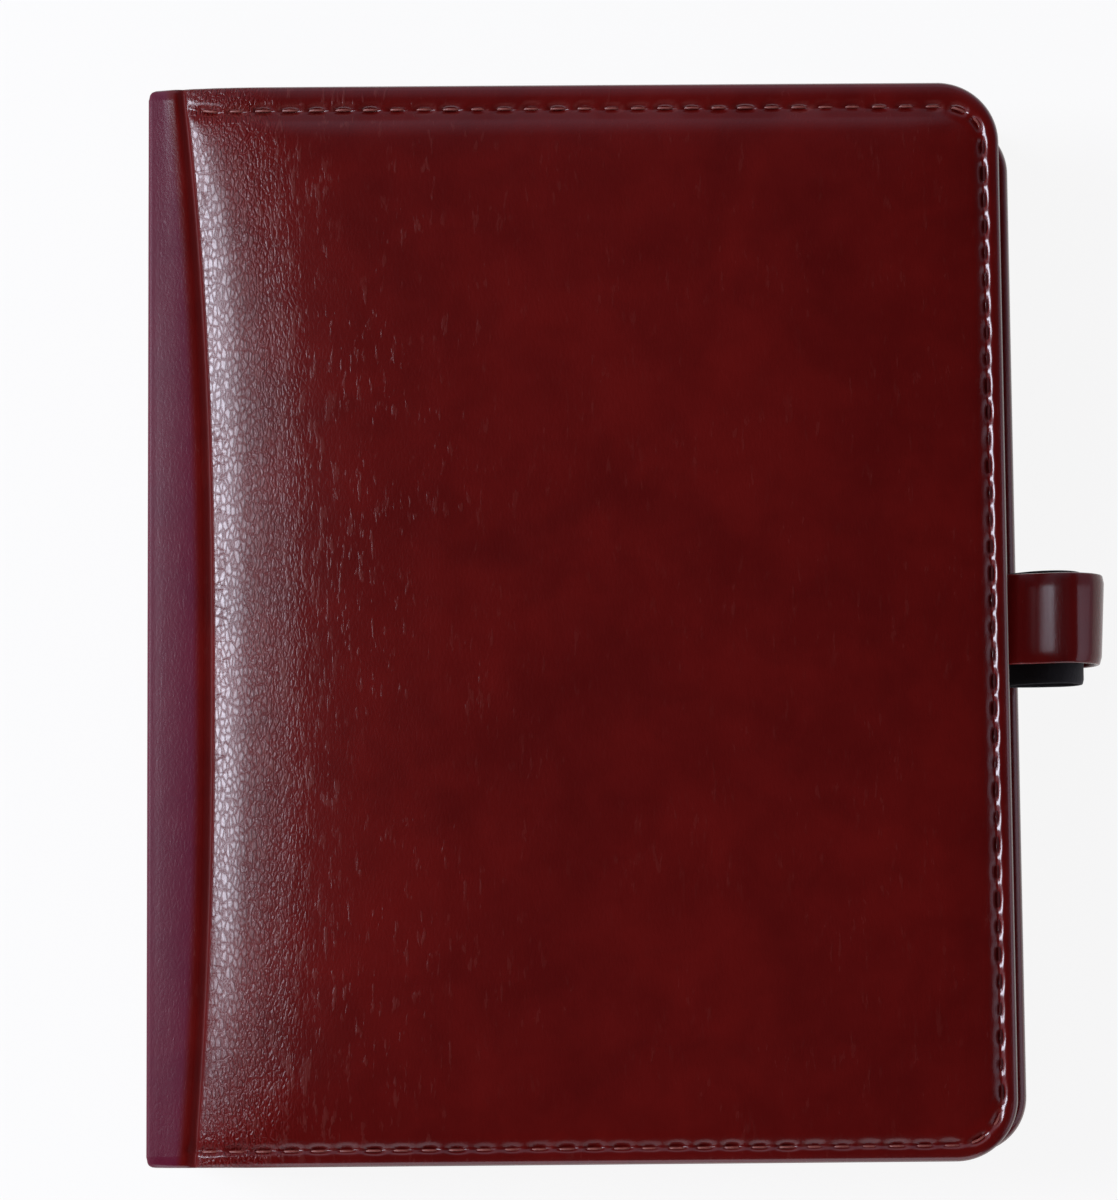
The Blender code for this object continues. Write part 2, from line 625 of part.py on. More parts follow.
tip_angle = math.degrees(TIP_GAP / RING_RADIUS)
arc = np.radians(np.linspace(tip_angle, ARC_END_DEG, ARC_STEPS))
half_ring = [(RING_X + RING_RADIUS * math.cos(a), RING_RADIUS * math.sin(a)) for a in arc]
arc_x, arc_z = half_ring[-1]
stem_x = float(rail_top(STEM_Z)) + SHEET_GAP + WIRE_RADIUS * 0.35
half_ring.append((arc_x + (stem_x - arc_x) * 0.35, arc_z + (STEM_Z - arc_z) * 0.75))
half_ring.append((stem_x, STEM_Z))
for side, sign, pivot in (("upper", 1.0, UPPER_RAIL_PIVOT), ("lower", -1.0, LOWER_RAIL_PIVOT)):
    prism(
        side + "_rail",
        [
            [
                (RAIL_INNER_X, MIDDLE + sign * RAIL_INNER_Z),
                (RAIL_OUTER_X, MIDDLE + sign * RAIL_OUTER_Z),
                (RAIL_OUTER_X - RAIL_PLATE, MIDDLE + sign * RAIL_OUTER_Z),
                (RAIL_INNER_X - RAIL_PLATE, MIDDLE + sign * RAIL_INNER_Z),
            ]
        ],
        [(-RAIL_HALF, 0.0), (RAIL_HALF, 0.0)],
        "xzy", METAL_LOOK, pivot,
    )
    for number, ring_y in enumerate(RING_YS):
        path = [(x, MIDDLE + sign * z) for x, z in half_ring]
        wire("%s_ring_%d" % (side, number + 1), path, ring_y, METAL_LOOK, pivot)

# Levers at the two ends of the housing
LEVER_IN = HOUSING_END + SIDE_GAP + 0.1
LEVER_OUT = LEVER_IN + LEVER_PLATE
LEVER_X = HOUSING_BASE + SIDE_GAP
LEVER_TOP = LEVER_X + LEVER_REACH
LEVER_PIVOT_X = LEVER_X + 0.4
LEVER_PIVOT_Y = (LEVER_IN + LEVER_OUT) / 2
for end, sign in (("head", 1.0), ("tail", -1.0)):
    prism(
        end + "_lever",
        [
            [
                (LEVER_X, sign * LEVER_IN),
                (LEVER_TOP - 1.5, sign * LEVER_IN),
                (LEVER_TOP - 0.4, sign * (LEVER_IN + 0.4 * LEVER_CURL)),
                (LEVER_TOP, sign * (LEVER_OUT + LEVER_CURL)),
                (LEVER_TOP - LEVER_PLATE, sign * (LEVER_OUT + LEVER_CURL)),
                (LEVER_TOP - LEVER_PLATE - 0.4, sign * (LEVER_OUT + 0.4 * LEVER_CURL)),
                (LEVER_TOP - 1.5 - LEVER_PLATE, sign * LEVER_OUT),
                (LEVER_X, sign * LEVER_OUT),
            ]
        ],
        [(MIDDLE - LEVER_HALF, 0.0), (MIDDLE + LEVER_HALF, 0.0)],
        "xyz", METAL_LOOK, (LEVER_PIVOT_X, sign * LEVER_PIVOT_Y, MIDDLE),
    )

# Sheets: each follows the curve of the rings, so a stack leans where it is farther from the middle
HOLE_RADIUS = HOLE_DIAMETER / 2
HOLE_STEPS = 12
PAGE_HALF = PAGE_HEIGHT / 2


def hole_x(away):
    """Where a sheet's holes sit: their inner wall stays just clear of the wire at that distance."""
    lean = math.sqrt(max(1.0 - (away / RING_RADIUS) ** 2, 0.05))
    return RING_X + RING_RADIUS * lean - WIRE_RADIUS / lean - HOLE_GAP + HOLE_RADIUS


def sheets(name, near, far, sign, steps, look, tab=None):
    """A block of punched sheets between two distances from the middle; tab is its low and high y, or None."""
    levels = np.linspace(near, far, steps + 1)
    base = hole_x(0.0)
    left = base - HOLE_TO_PAGE_EDGE
    right = left + PAGE_WIDTH
    outline = rounded_box(
        left, right, -PAGE_HALF, PAGE_HALF, (PAGE_CORNER, PAGE_CORNER / 2, PAGE_CORNER / 2, PAGE_CORNER), 4
    )
    if tab:
        low, high = tab
        bevel = 1.5
        tab_points = [
            (right, low),
            (right + TAB_REACH - bevel, low + bevel),
            (right + TAB_REACH, low + 2 * bevel),
            (right + TAB_REACH, high - 2 * bevel),
            (right + TAB_REACH - bevel, high - bevel),
            (right, high),
        ]
        outline = outline + tab_points
    holes = [circle(base, y, HOLE_RADIUS, HOLE_STEPS)[::-1] for y in RING_YS]
    layers = [(MIDDLE + sign * away, hole_x(away) - base) for away in levels]
    prism(name, [outline, *holes], layers, "xyz", look, RING_PIVOT)


FLYLEAF = 0.25
DIVIDER = 0.35
first = SHEET_GAP
flyleaf_near = PAGE_STACK - FLYLEAF
paper = flyleaf_near - first - DIVIDER - 3 * SHEET_GAP + SHEET_GAP
inner_far = first + paper * 0.55
divider_near = inner_far + SHEET_GAP
divider_far = divider_near + DIVIDER
outer_near = divider_far + SHEET_GAP
outer_far = flyleaf_near - SHEET_GAP
TAB_LONG = PAGE_HEIGHT * 0.24
front_tab = (PAGE_HALF * 0.3, PAGE_HALF * 0.3 + TAB_LONG)
back_tab = (-PAGE_HALF * 0.3 - TAB_LONG, -PAGE_HALF * 0.3)
sheets("pages_b", first, inner_far, 1.0, 2, PAPER_LOOK)
sheets("divider_front", divider_near, divider_far, 1.0, 1, DIVIDER_LOOK, front_tab)
sheets("pages_a", outer_near, outer_far, 1.0, 2, PAPER_LOOK)
sheets("flyleaf_front", flyleaf_near, PAGE_STACK, 1.0, 1, FLYLEAF_LOOK)
sheets("pages_c", first, inner_far, -1.0, 2, PAPER_LOOK)
sheets("divider_back", divider_near, divider_far, -1.0, 1, DIVIDER_LOOK, back_tab)
sheets("pages_d", outer_near, outer_far, -1.0, 2, PAPER_LOOK)
sheets("flyleaf_back", flyleaf_near, PAGE_STACK, -1.0, 1, FLYLEAF_LOOK)
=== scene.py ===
import math

import bpy
import numpy as np
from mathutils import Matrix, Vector
from mathutils.geometry import tessellate_polygon


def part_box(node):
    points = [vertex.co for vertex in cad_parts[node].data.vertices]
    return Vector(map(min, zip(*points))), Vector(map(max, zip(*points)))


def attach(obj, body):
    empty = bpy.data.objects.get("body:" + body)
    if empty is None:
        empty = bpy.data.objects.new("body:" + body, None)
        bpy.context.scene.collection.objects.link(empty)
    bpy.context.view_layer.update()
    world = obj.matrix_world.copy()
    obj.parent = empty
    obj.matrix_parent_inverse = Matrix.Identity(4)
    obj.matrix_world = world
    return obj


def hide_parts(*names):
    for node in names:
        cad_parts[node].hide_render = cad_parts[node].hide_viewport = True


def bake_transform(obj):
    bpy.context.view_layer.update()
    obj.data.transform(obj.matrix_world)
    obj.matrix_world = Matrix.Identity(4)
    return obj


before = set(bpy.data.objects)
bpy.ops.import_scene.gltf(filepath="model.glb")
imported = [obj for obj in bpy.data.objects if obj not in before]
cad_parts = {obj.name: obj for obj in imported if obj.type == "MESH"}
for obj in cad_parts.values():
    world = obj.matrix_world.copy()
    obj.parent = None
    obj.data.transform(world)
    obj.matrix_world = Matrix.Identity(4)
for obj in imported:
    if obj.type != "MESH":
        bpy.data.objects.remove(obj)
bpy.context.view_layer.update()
RANDOM = np.random.default_rng(7)

MM = 0.001

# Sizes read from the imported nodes, in millimetres


def node_box(name):
    """A node's lowest and highest corners in millimetres of the row frame."""
    low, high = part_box(name)
    return np.array(low) / MM, np.array(high) / MM


FRONT_HIGH = node_box("front_skin")[1]
BACK_HIGH = node_box("back_skin")[1]
LINING_HIGH = node_box("front_lining")[1]
X_ORIGIN = node_box("spine_skin")[0][0]
THICKNESS = FRONT_HIGH[2]
MIDDLE = THICKNESS / 2
HALF_HEIGHT = FRONT_HIGH[1]
LEATHER_PROUD = 0.4
FRONT_WIDTH = FRONT_HIGH[0] - X_ORIGIN + LEATHER_PROUD
BACK_WIDTH = BACK_HIGH[0] - X_ORIGIN + LEATHER_PROUD
LAYER_GAP = 0.15
RIM_DEPTH = THICKNESS - LINING_HIGH[2] - LAYER_GAP
GROOVE_LINE = 6.9
BOW_MIDDLE = -8.0
BOW_HALF = 76.0
BOW_PEAK = 1.5
BOW_FALL = 3.6
BOW_POWER = 2.4


def local_box(name):
    """A node's corners with x measured from the spine's outer face."""
    low, high = node_box(name)
    shift = np.array([X_ORIGIN, 0.0, 0.0])
    return low - shift, high - shift


# Shader sums: a wrapped socket that adds nodes as it is calculated with


def flow_sum(operation, swapped=False):
    """A Flow method that adds one Math node; swapped puts the other value first, as in 1 - flow."""

    def method(self, *others):
        return self.maths(operation, *others, self) if swapped else self.maths(operation, self, *others)

    return method


class Flow:
    """One node output in a tree; Python sums with it add Math nodes, and make() adds any other node."""

    def __init__(self, tree, socket=None):
        self.tree = tree
        self.socket = socket

    def make(self, kind, settings, sockets, output=0):
        """Adds a node, sets its settings, then gives its sockets values or links; returns one output."""
        node = self.tree.nodes.new(kind)
        for name, value in settings.items():
            if name == "stops":
                ramp = node.color_ramp
                while len(ramp.elements) < len(value):
                    ramp.elements.new(0.5)
                for element, (place, colour) in zip(ramp.elements, value):
                    element.position = place
                    element.color = (*colour, 1.0)
            else:
                setattr(node, name, value)
        for name, value in sockets.items():
            if isinstance(value, Flow):
                self.tree.links.new(value.socket, node.inputs[name])
            else:
                node.inputs[name].default_value = value
        return Flow(self.tree, node.outputs[output])

    def maths(self, operation, *values):
        return self.make("ShaderNodeMath", {"operation": operation}, dict(enumerate(values)))

    __add__ = flow_sum("ADD")
    __radd__ = flow_sum("ADD", True)
    __sub__ = flow_sum("SUBTRACT")
    __rsub__ = flow_sum("SUBTRACT", True)
    __mul__ = flow_sum("MULTIPLY")
    __rmul__ = flow_sum("MULTIPLY", True)
    __truediv__ = flow_sum("DIVIDE")
    __pow__ = flow_sum("POWER")
    __abs__ = flow_sum("ABSOLUTE")
    least = flow_sum("MINIMUM")
    most = flow_sum("MAXIMUM")

    def wrap(self, size):
        """The value folded into the range from 0 to size."""
        return self.maths("WRAP", self, size, 0.0)

    def step(self, low, high):
        """A smooth step from 0 at low to 1 at high."""
        return self.make(
            "ShaderNodeMapRange",
            {"interpolation_type": "SMOOTHSTEP"},
            {"Value": self, "From Min": low, "From Max": high, "To Min": 0.0, "To Max": 1.0},
        )

    def hump(self, low, high, fall_low, fall_high):
        """A smooth rise from low to high, and a fall from fall_low to fall_high."""
        return self.step(low, high) * (1 - self.step(fall_low, fall_high))

    def mix(self, first, second):
        """A colour between two, with this value as the share of the second."""
        return self.make("ShaderNodeMix", {"data_type": "RGBA"}, {0: self, 6: first, 7: second}, 2)

    def scaled(self, factors):
        """A vector with each part times its factor."""
        return self.make("ShaderNodeVectorMath", {"operation": "MULTIPLY"}, {0: self, 1: factors})

    def part(self, letter):
        return self.make("ShaderNodeSeparateXYZ", {}, {0: self}, "XYZ".index(letter))

    def noise(self, scale, detail=2.0, roughness=0.5, distortion=0.0):
        sockets = {"Vector": self, "Scale": scale, "Detail": detail}
        sockets.update({"Roughness": roughness, "Distortion": distortion})
        return self.make("ShaderNodeTexNoise", {}, sockets)

    def cells(self, scale=1.0):
        """How far the nearest border between random cells is."""
        sockets = {"Vector": self, "Scale": scale, "Randomness": 1.0}
        return self.make("ShaderNodeTexVoronoi", {"feature": "DISTANCE_TO_EDGE"}, sockets)


def colour(red, green, blue):
    return (red, green, blue, 1.0)


class Finish:
    """A material with one Principled shader; place() gives the pattern's coordinates in millimetres."""

    def __init__(self, name):
        self.material = bpy.data.materials.new(name)
        self.material.use_nodes = True
        self.tree = self.material.node_tree
        self.shader = self.tree.nodes["Principled BSDF"]
        self.flow = Flow(self.tree)

    def place(self, attribute=None):
        """Coordinates in millimetres: the rest places a bending piece carries, or Object coordinates."""
        if attribute:
            settings = {"attribute_name": attribute}
            found = self.flow.make("ShaderNodeAttribute", settings, {}, "Vector")
        else:
            found = self.flow.make("ShaderNodeTexCoord", {}, {}, "Object")
        return found.scaled((1 / MM, 1 / MM, 1 / MM))

    def share(self, attribute):
        """A value that a piece carries at its points; nothing where a piece has no such value."""
        return self.flow.make("ShaderNodeAttribute", {"attribute_name": attribute}, {}, "Fac")

    def set(self, **values):
        """Gives shader sockets values or links; a name's underscores stand for spaces."""
        for name, value in values.items():
            socket = self.shader.inputs[name.replace("_", " ")]
            if isinstance(value, Flow):
                self.tree.links.new(value.socket, socket)
            else:
                socket.default_value = value
        return self

    def bump(self, height, reach, strength=1.0):
        """Feeds a height of 0 to 1 through a Bump node whose full height is reach millimetres."""
        sockets = {"Height": height, "Distance": reach * MM, "Strength": strength}
        return self.set(Normal=self.flow.make("ShaderNodeBump", {}, sockets))


# Mesh helpers

CREASE = 50.0


def grid_faces(rows, columns, close_columns=False):
    """Corner numbers of a grid's quads; closed columns join each row's last point to its first."""
    i = np.arange(rows - 1)[:, None]
    j = np.arange(columns if close_columns else columns - 1)[None, :]
    after = (j + 1) % columns
    corners = [i * columns + j, (i + 1) * columns + j, (i + 1) * columns + after, i * columns + after]
    return np.stack(np.broadcast_arrays(*corners), axis=-1).reshape(-1, 4).tolist()


def closed_faces(rings, count):
    """Faces round a row of rings with count points each, closed at both ends."""
    faces = grid_faces(rings, count, close_columns=True)
    faces.append(list(range(count)))
    faces.append(list(range((rings - 1) * count, rings * count))[::-1])
    return faces


def unit_way(path):
    """The unit direction along a path at each of its points."""
    way = np.gradient(path, axis=0)
    return way / np.linalg.norm(way, axis=1)[:, None]


def add_piece(name, points, faces, finish, crease):
    """One mesh from points in millimetres, x from the spine's outer face; its faces are turned outwards.

    The signed volume, the sum over triangles of a . (b x c) / 6, says whether they have to be flipped.
    """
    place = (np.asarray(points, float).reshape(-1, 3) + (X_ORIGIN, 0.0, 0.0)) * MM
    mesh = bpy.data.meshes.new(name)
    mesh.from_pydata(place.tolist(), [], faces)
    mesh.update()
    mesh.calc_loop_triangles()
    corners = np.zeros(len(mesh.loop_triangles) * 3, np.int32)
    mesh.loop_triangles.foreach_get("vertices", corners)
    a, b, c = place[corners].reshape(-1, 3, 3).transpose(1, 0, 2)
    if np.sum(a * np.cross(b, c)) < 0:
        mesh.flip_normals()
    mesh.shade_smooth()
    mesh.set_sharp_from_angle(angle=math.radians(crease))
    rest = mesh.attributes.new("rest", "FLOAT_VECTOR", "POINT")
    rest.data.foreach_set("vector", place.astype(np.float32).ravel())
    mesh.materials.append(finish.material)
    made = bpy.data.objects.new(name, mesh)
    bpy.context.scene.collection.objects.link(made)
    return made


def put(name, shape, finish, body, slot, *nodes, crease=CREASE):
    """Adds a piece from its points and faces; it rides on a body and stands for CAD nodes, which it hides.
    slot is not used.
    """
    piece = add_piece(name, *shape, finish, crease)
    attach(piece, body)
    if nodes:
        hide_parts(*nodes)


def spline_weights(count, samples):
    """Catmull-Rom weights: a row for each sample, saying how much each of count control points adds."""
    k = np.clip(np.floor(samples).astype(int), 0, count - 2)
    t = samples - k
    basis = 0.5 * np.stack(
        [
            -t + 2 * t**2 - t**3,
            2 - 5 * t**2 + 3 * t**3,
            t + 4 * t**2 - 3 * t**3,
            -(t**2) + t**3,
        ]
    )
    weights = np.zeros((len(samples), count))
    for step in range(4):
        np.add.at(weights, (np.arange(len(samples)), np.clip(k + step - 1, 0, count - 1)), basis[step])
    return weights


def rounded_outline(x0, x1, y0, y1, radii, steps=8):
    """An anticlockwise outline; radii are for the corners (x1, y1), (x0, y1), (x0, y0) and (x1, y0)."""
    turn = np.linspace(0.0, math.pi / 2, steps + 1)
    corners = ((x1, y1, -1, -1, 0), (x0, y1, 1, -1, 1), (x0, y0, 1, 1, 2), (x1, y0, -1, 1, 3))
    arcs = [
        np.stack(
            [
                x + to_x * r + r * np.cos(turn + quarter * math.pi / 2),
                y + to_y * r + r * np.sin(turn + quarter * math.pi / 2),
            ],
            axis=1,
        )
        for (x, y, to_x, to_y, quarter), r in zip(corners, radii)
    ]
    return np.concatenate(arcs)


def outward(outline):
    """Unit normals of an anticlockwise outline: the mean way along it at each point, turned clockwise."""
    way = np.roll(outline, -1, axis=0) - np.roll(outline, 1, axis=0)
    way /= np.linalg.norm(way, axis=1)[:, None] + 1e-12
    return np.stack([way[:, 1], -way[:, 0]], axis=1)


def plate(outline, low, high, edge, axes="xyz", steps=4):
    """A flat plate with round edges: the outline carried along a profile.

    Each ring is the outline drawn in by edge * (1 - sin t) at a height that runs over a quarter turn below
    and above, and both ends are closed. The outline's two directions and the height go to axes.
    """
    turn = np.linspace(0.0, math.pi / 2, steps)
    inset = np.concatenate([edge * (1 - np.sin(turn)), edge * (1 - np.cos(turn))])
    height = np.concatenate([low + edge * (1 - np.cos(turn)), high - edge * (1 - np.sin(turn))])
    flat = outline[None] - outward(outline)[None] * inset[:, None, None]
    level = np.broadcast_to(height[:, None, None], (*flat.shape[:2], 1))
    order = ["xyz".index(letter) for letter in axes]
    points = np.empty((*flat.shape[:2], 3))
    points[..., order] = np.concatenate([flat, level], axis=-1)
    faces = closed_faces(*flat.shape[:2])
    return points.reshape(-1, 3), [face[::-1] for face in faces]


DOME_BACK = np.array([0.28, 0.20, 0.08])
DOME_RADII = np.array([0.35, 0.75, 0.95])
TUBE_SIDES = 14


def tube(path, radius, side):
    """A round bar along a path, domed at both ends: circles in the plane of side and of side x way."""
    way = unit_way(path)
    back = DOME_BACK[:, None] * radius
    path = np.concatenate([path[0] - way[0] * back, path, path[-1] + way[-1] * back[::-1]])
    radii = np.concatenate([DOME_RADII, np.ones(len(way)), DOME_RADII[::-1]]) * radius
    way = np.concatenate([np.repeat(way[:1], len(back), 0), way, np.repeat(way[-1:], len(back), 0)])
    side = np.broadcast_to(np.asarray(side, float), way.shape)
    other = np.cross(way, side)
    turn = 2 * math.pi * np.arange(TUBE_SIDES) / TUBE_SIDES
    ring = side[:, None] * np.cos(turn)[:, None] + other[:, None] * np.sin(turn)[:, None]
    points = path[:, None] + ring * radii[:, None, None]
    return points.reshape(-1, 3), closed_faces(len(path), TUBE_SIDES)


def band(path, profile):
    """A strip swept along a path of x and z, closed at both ends.

    The profile's first number runs along y, and its second off the path: the way along it turned to the
    left, (-way_z, way_x).
    """
    way = unit_way(path)
    off = np.stack([-way[:, 1], way[:, 0]], axis=1)
    flat = path[:, None] + off[:, None] * profile[None, :, 1:]
    along = np.broadcast_to(profile[None, :, 0], flat.shape[:2])
    points = np.stack([flat[..., 0], along, flat[..., 1]], axis=-1)
    return points.reshape(-1, 3), closed_faces(*along.shape)


ROUND_STEPS = 28


def turned(profile, y, z):
    """A round solid about a line along x: profile holds x and radius from the first end to the last."""
    turn = 2 * math.pi * np.arange(ROUND_STEPS) / ROUND_STEPS
    x = np.broadcast_to(profile[:, :1], (len(profile), ROUND_STEPS))
    points = np.stack([x, y + profile[:, 1:] * np.cos(turn), z + profile[:, 1:] * np.sin(turn)], axis=-1)
    return points.reshape(-1, 3), closed_faces(len(profile), ROUND_STEPS)


def pierced(outer, inner, keep):
    """A bent plate between two grids of points, with the cells where keep is false left open."""
    rows, columns = outer.shape[:2]
    size = rows * columns
    index = np.arange(size).reshape(rows, columns)
    corners = np.stack([index[:-1, :-1], index[1:, :-1], index[1:, 1:], index[:-1, 1:]], axis=-1)
    padded = np.pad(keep, 1)
    neighbours = (padded[1:-1, :-2], padded[2:, 1:-1], padded[1:-1, 2:], padded[:-2, 1:-1])
    walls = []
    for k in range(4):
        here = corners[..., k]
        after = corners[..., (k + 1) % 4]
        wall = np.stack([after, here, here + size, after + size], axis=-1)
        walls.append(wall[keep & ~neighbours[k]])
    faces = np.concatenate([corners[keep], corners[keep][:, ::-1] + size, *walls])
    used, faces = np.unique(faces, return_inverse=True)
    points = np.concatenate([outer.reshape(-1, 3), inner.reshape(-1, 3)])[used]
    return points, faces.reshape(-1, 4).tolist()


PATH_STEPS = 5
LAST_SHORT = 1e-9


def smooth_path(controls):
    """A curve through control points, by spline_weights, with the last point added."""
    last = len(controls) - 1
    samples = np.append(np.arange(last * PATH_STEPS) / PATH_STEPS, last - LAST_SHORT)
    return spline_weights(len(controls), samples) @ np.asarray(controls, float)


def punched_sheets(outline, holes, lows, thickness, shifts):
    """A stack of flat sheets of one outline with holes: the two faces cut into triangles, and their walls.

    lows holds each sheet's underside height, and shifts how far it lies off in x and y.
    """
    loops = [outline] + [hole[::-1] for hole in holes]
    cut = tessellate_polygon([[Vector((x, y, 0.0)) for x, y in loop] for loop in loops])
    flat = np.concatenate(loops)
    triangles = np.array(cut)
    corners = flat[triangles]
    first = corners[:, 1] - corners[:, 0]
    second = corners[:, 2] - corners[:, 0]
    turned_over = first[:, 0] * second[:, 1] - first[:, 1] * second[:, 0] < 0
    triangles[turned_over] = triangles[turned_over][:, ::-1]
    count = len(flat)
    starts = np.cumsum([0] + [len(loop) for loop in loops])
    walls = []
    for loop, start in zip(loops, starts):
        here = start + np.arange(len(loop))
        after = start + (np.arange(len(loop)) + 1) % len(loop)
        walls.append(np.stack([here, after, after + count, here + count], axis=1))
    walls = np.concatenate(walls)
    caps = np.concatenate([triangles[:, ::-1], triangles + count])
    levels = np.stack([lows, lows + thickness], axis=1)
    plan = flat[None, None] + shifts[:, None, None]
    height = np.broadcast_to(levels[:, :, None, None], (len(lows), 2, count, 1))
    points = np.concatenate([np.broadcast_to(plan, (len(lows), 2, count, 2)), height], axis=-1)
    begin = np.arange(len(lows)) * 2 * count
    faces = (caps[None] + begin[:, None, None]).reshape(-1, 3).tolist()
    faces += (walls[None] + begin[:, None, None]).reshape(-1, 4).tolist()
    return points.reshape(-1, 3), faces


# Finishes

# Zones of leather() in millimetres: an effect rises over the first two numbers, and where there are four it
# falls over the last two
GROOVE_ZONE = (-1.0, -0.4, 0.2, 0.6)
LIP_ZONE = (0.3, 0.7, 1.5, 3.2)
CRINKLE_ZONE = (0.2, 0.6, 5.0, 15.0)
DENSE_ZONE = (2.0, 5.0, 11.0, 24.0)
STREAK_ZONE = (9.0, 15.0, 24.0, 52.0)
NOSE_ZONE = (1.75, 2.2, 2.7, 2.95)
RIM_ZONE = (10.0, 14.0, 115.6, 115.7)
# Where the pen loop's left part gets painted light, because the front cover shades it
LOOP_PAINTED_LIGHT_ZONE = (112.5, 112.6, 116.0, 120.0)
CORNER_STEP = (0.5, 1.9)
SPINE_STEP = (4.2, 6.0)
LOOP_FAR = (120.5, 124.0)
# Where the spine's band beside the groove gets a painted plum sheen
SHEEN_STRIP_END = (-2.6, -1.4)
SHEEN_STRIP_DEPTH = (3.6, 4.4)

# Noise patterns of leather(): scale, detail, roughness and distortion
BLOTCH = (0.045, 3.0, 0.55, 0.6)
CLOUD = (0.16, 4.0, 0.6, 0.3)
WANDER = (0.22, 2.0, 0.5)
UPRIGHT = (1.0, 2.0, 0.55, 0.4)
SHORT = (1.0, 2.0, 0.5, 0.5)
PATCHY = (0.10, 3.0, 0.65)
LIP_PATCH = (0.085, 2.0, 0.5)
PORE = (2.2, 3.0, 0.6)

# How a pattern is drawn out along x, y and z
UPRIGHT_GRAIN = (1.15, 0.24, 1.15)
SHORT_GRAIN = (1.9, 0.55, 1.9)
PEBBLE_GRAIN = (1.75, 0.80, 1.6)
FINE_GRAIN = (3.1, 1.7, 2.8)
CRACK_GRAIN = (0.16, 0.55, 0.16)

MAROON = colour(0.086, 0.0028, 0.0023)
BURGUNDY = colour(0.136, 0.0050, 0.0037)
RUSSET = colour(0.150, 0.026, 0.020)
# Painted reflection: a plum tint for the spine's band beside the groove
PLUM_PAINTED_SHEEN = colour(0.125, 0.018, 0.055)
LOOP_DARK = colour(0.112, 0.0050, 0.0046)
LOOP_RED = colour(0.142, 0.0066, 0.0056)
# Painted light: a brighter red for the pen loop's left part, which the front cover shades
LOOP_PAINTED_LIGHT = colour(0.440, 0.0170, 0.0130)
# Paler pink for the lips of the stitch holes: partly rubbed leather, partly a painted highlight
LIP_WEAR_AND_SHEEN = colour(0.230, 0.062, 0.050)
LEATHER_BUMP = 0.11


def leather(name, dark, base, painted_light_colour, grain, coat, rim_loss):
    """Glossy calf leather: blotches, fine upright creases, and crinkled grain where the hinge bends it.

    dark and base are its blotches. The third colour is painted light: it brightens the pen loop's left part,
    which the front cover shades. A painted plum sheen tints the spine's band beside the groove. grain is how
    strong the crinkles by the hinge are, and coat the gloss, of which the rim loses a share. The piece's own
    values say
    where leather is sewn: seam near the seam, and the lips of the stitch holes, painted paler, partly rubbed
    leather and partly a painted highlight.
    """
    finish = Finish(name)
    place = finish.place("rest")
    across = place.part("X") - X_ORIGIN
    swing = abs(place.part("Y") - BOW_MIDDLE) / BOW_HALF
    beyond = across - (GROOVE_LINE + BOW_PEAK) + swing**BOW_POWER * BOW_FALL
    below = MIDDLE - abs(place.part("Z") - MIDDLE)
    past_edge = across.step(*CORNER_STEP).most(below.step(*SPINE_STEP))
    in_groove = beyond.hump(*GROOVE_ZONE)
    by_lip = beyond.hump(*LIP_ZONE)
    by_hinge = beyond.hump(*CRINKLE_ZONE)
    dense = beyond.hump(*DENSE_ZONE)
    beside = across.hump(*STREAK_ZONE)
    rim = across.hump(*RIM_ZONE) * below.hump(*NOSE_ZONE)
    strip = (1 - beyond.step(*SHEEN_STRIP_END)) * (1 - below.step(*SHEEN_STRIP_DEPTH))
    sewn = finish.share("seam")
    lips = finish.share("wear")
    cloud = place.noise(*CLOUD)
    tone = (place.noise(*BLOTCH) * 0.6 + cloud * 0.4).step(0.25, 0.78)
    upright = place.scaled(UPRIGHT_GRAIN).noise(*UPRIGHT)
    short = place.scaled(SHORT_GRAIN).noise(*SHORT)
    crease = (upright * 0.6 + short * 0.4 + dense * 0.045).step(0.56, 0.66)
    patchy = place.noise(*PATCHY).step(0.38, 0.58)
    worn = crease * patchy.most(dense * 0.8) * (beside * 0.65 + 0.3)
    patch = place.noise(*LIP_PATCH).step(0.43, 0.54)
    body = (worn * 0.5).mix(tone.mix(dark, base), RUSSET)
    # The lips of the stitch holes painted paler: partly rubbed leather, partly a painted highlight
    body = (lips * (patch * 0.2 + 0.06)).mix(body, LIP_WEAR_AND_SHEEN)
    # Painted light on the pen loop's left part, where the front cover shades it
    body = (across.hump(*LOOP_PAINTED_LIGHT_ZONE) * 0.8).mix(body, painted_light_colour)
    # Painted plum sheen: a painted reflection on the spine's band beside the groove
    body = (strip * 0.5).mix(body, PLUM_PAINTED_SHEEN)
    pebble = place.scaled(PEBBLE_GRAIN).cells().step(0.02, 0.26)
    fine = place.scaled(FINE_GRAIN).cells().step(0.0, 0.40)
    crack = place.scaled(CRACK_GRAIN).cells().step(0.0, 0.06)
    crinkle = pebble * 0.60 + fine * 0.25 + place.noise(*PORE) * 0.15
    cracked = 1 - (1 - crack) * by_lip * (patchy * 0.5 + 0.15)
    height = crinkle * (by_hinge * grain + 0.10) + place.noise(*WANDER) * 0.6
    height = height + worn * 0.25 + cracked * grain * 0.6
    dull = 1 - by_hinge * (1 - pebble) * 0.72 * grain
    dull = dull * cracked * (1 - in_groove) * (1 - sewn * (0.9 - patch * 0.25))
    rough = 0.22 + cloud * 0.06 + worn * 0.10 + in_groove * 0.30 + (1 - past_edge) * 0.25 + rim * 0.6
    gloss = coat - rim.most(across.step(*LOOP_FAR)) * (coat * rim_loss)
    finish.set(
        Base_Color=body,
        Roughness=rough,
        Specular_IOR_Level=0.20,
        Coat_Weight=(past_edge * 0.95 + 0.05) * gloss * dull,
        Coat_Roughness=0.15,
    )
    return finish.bump(height, LEATHER_BUMP)


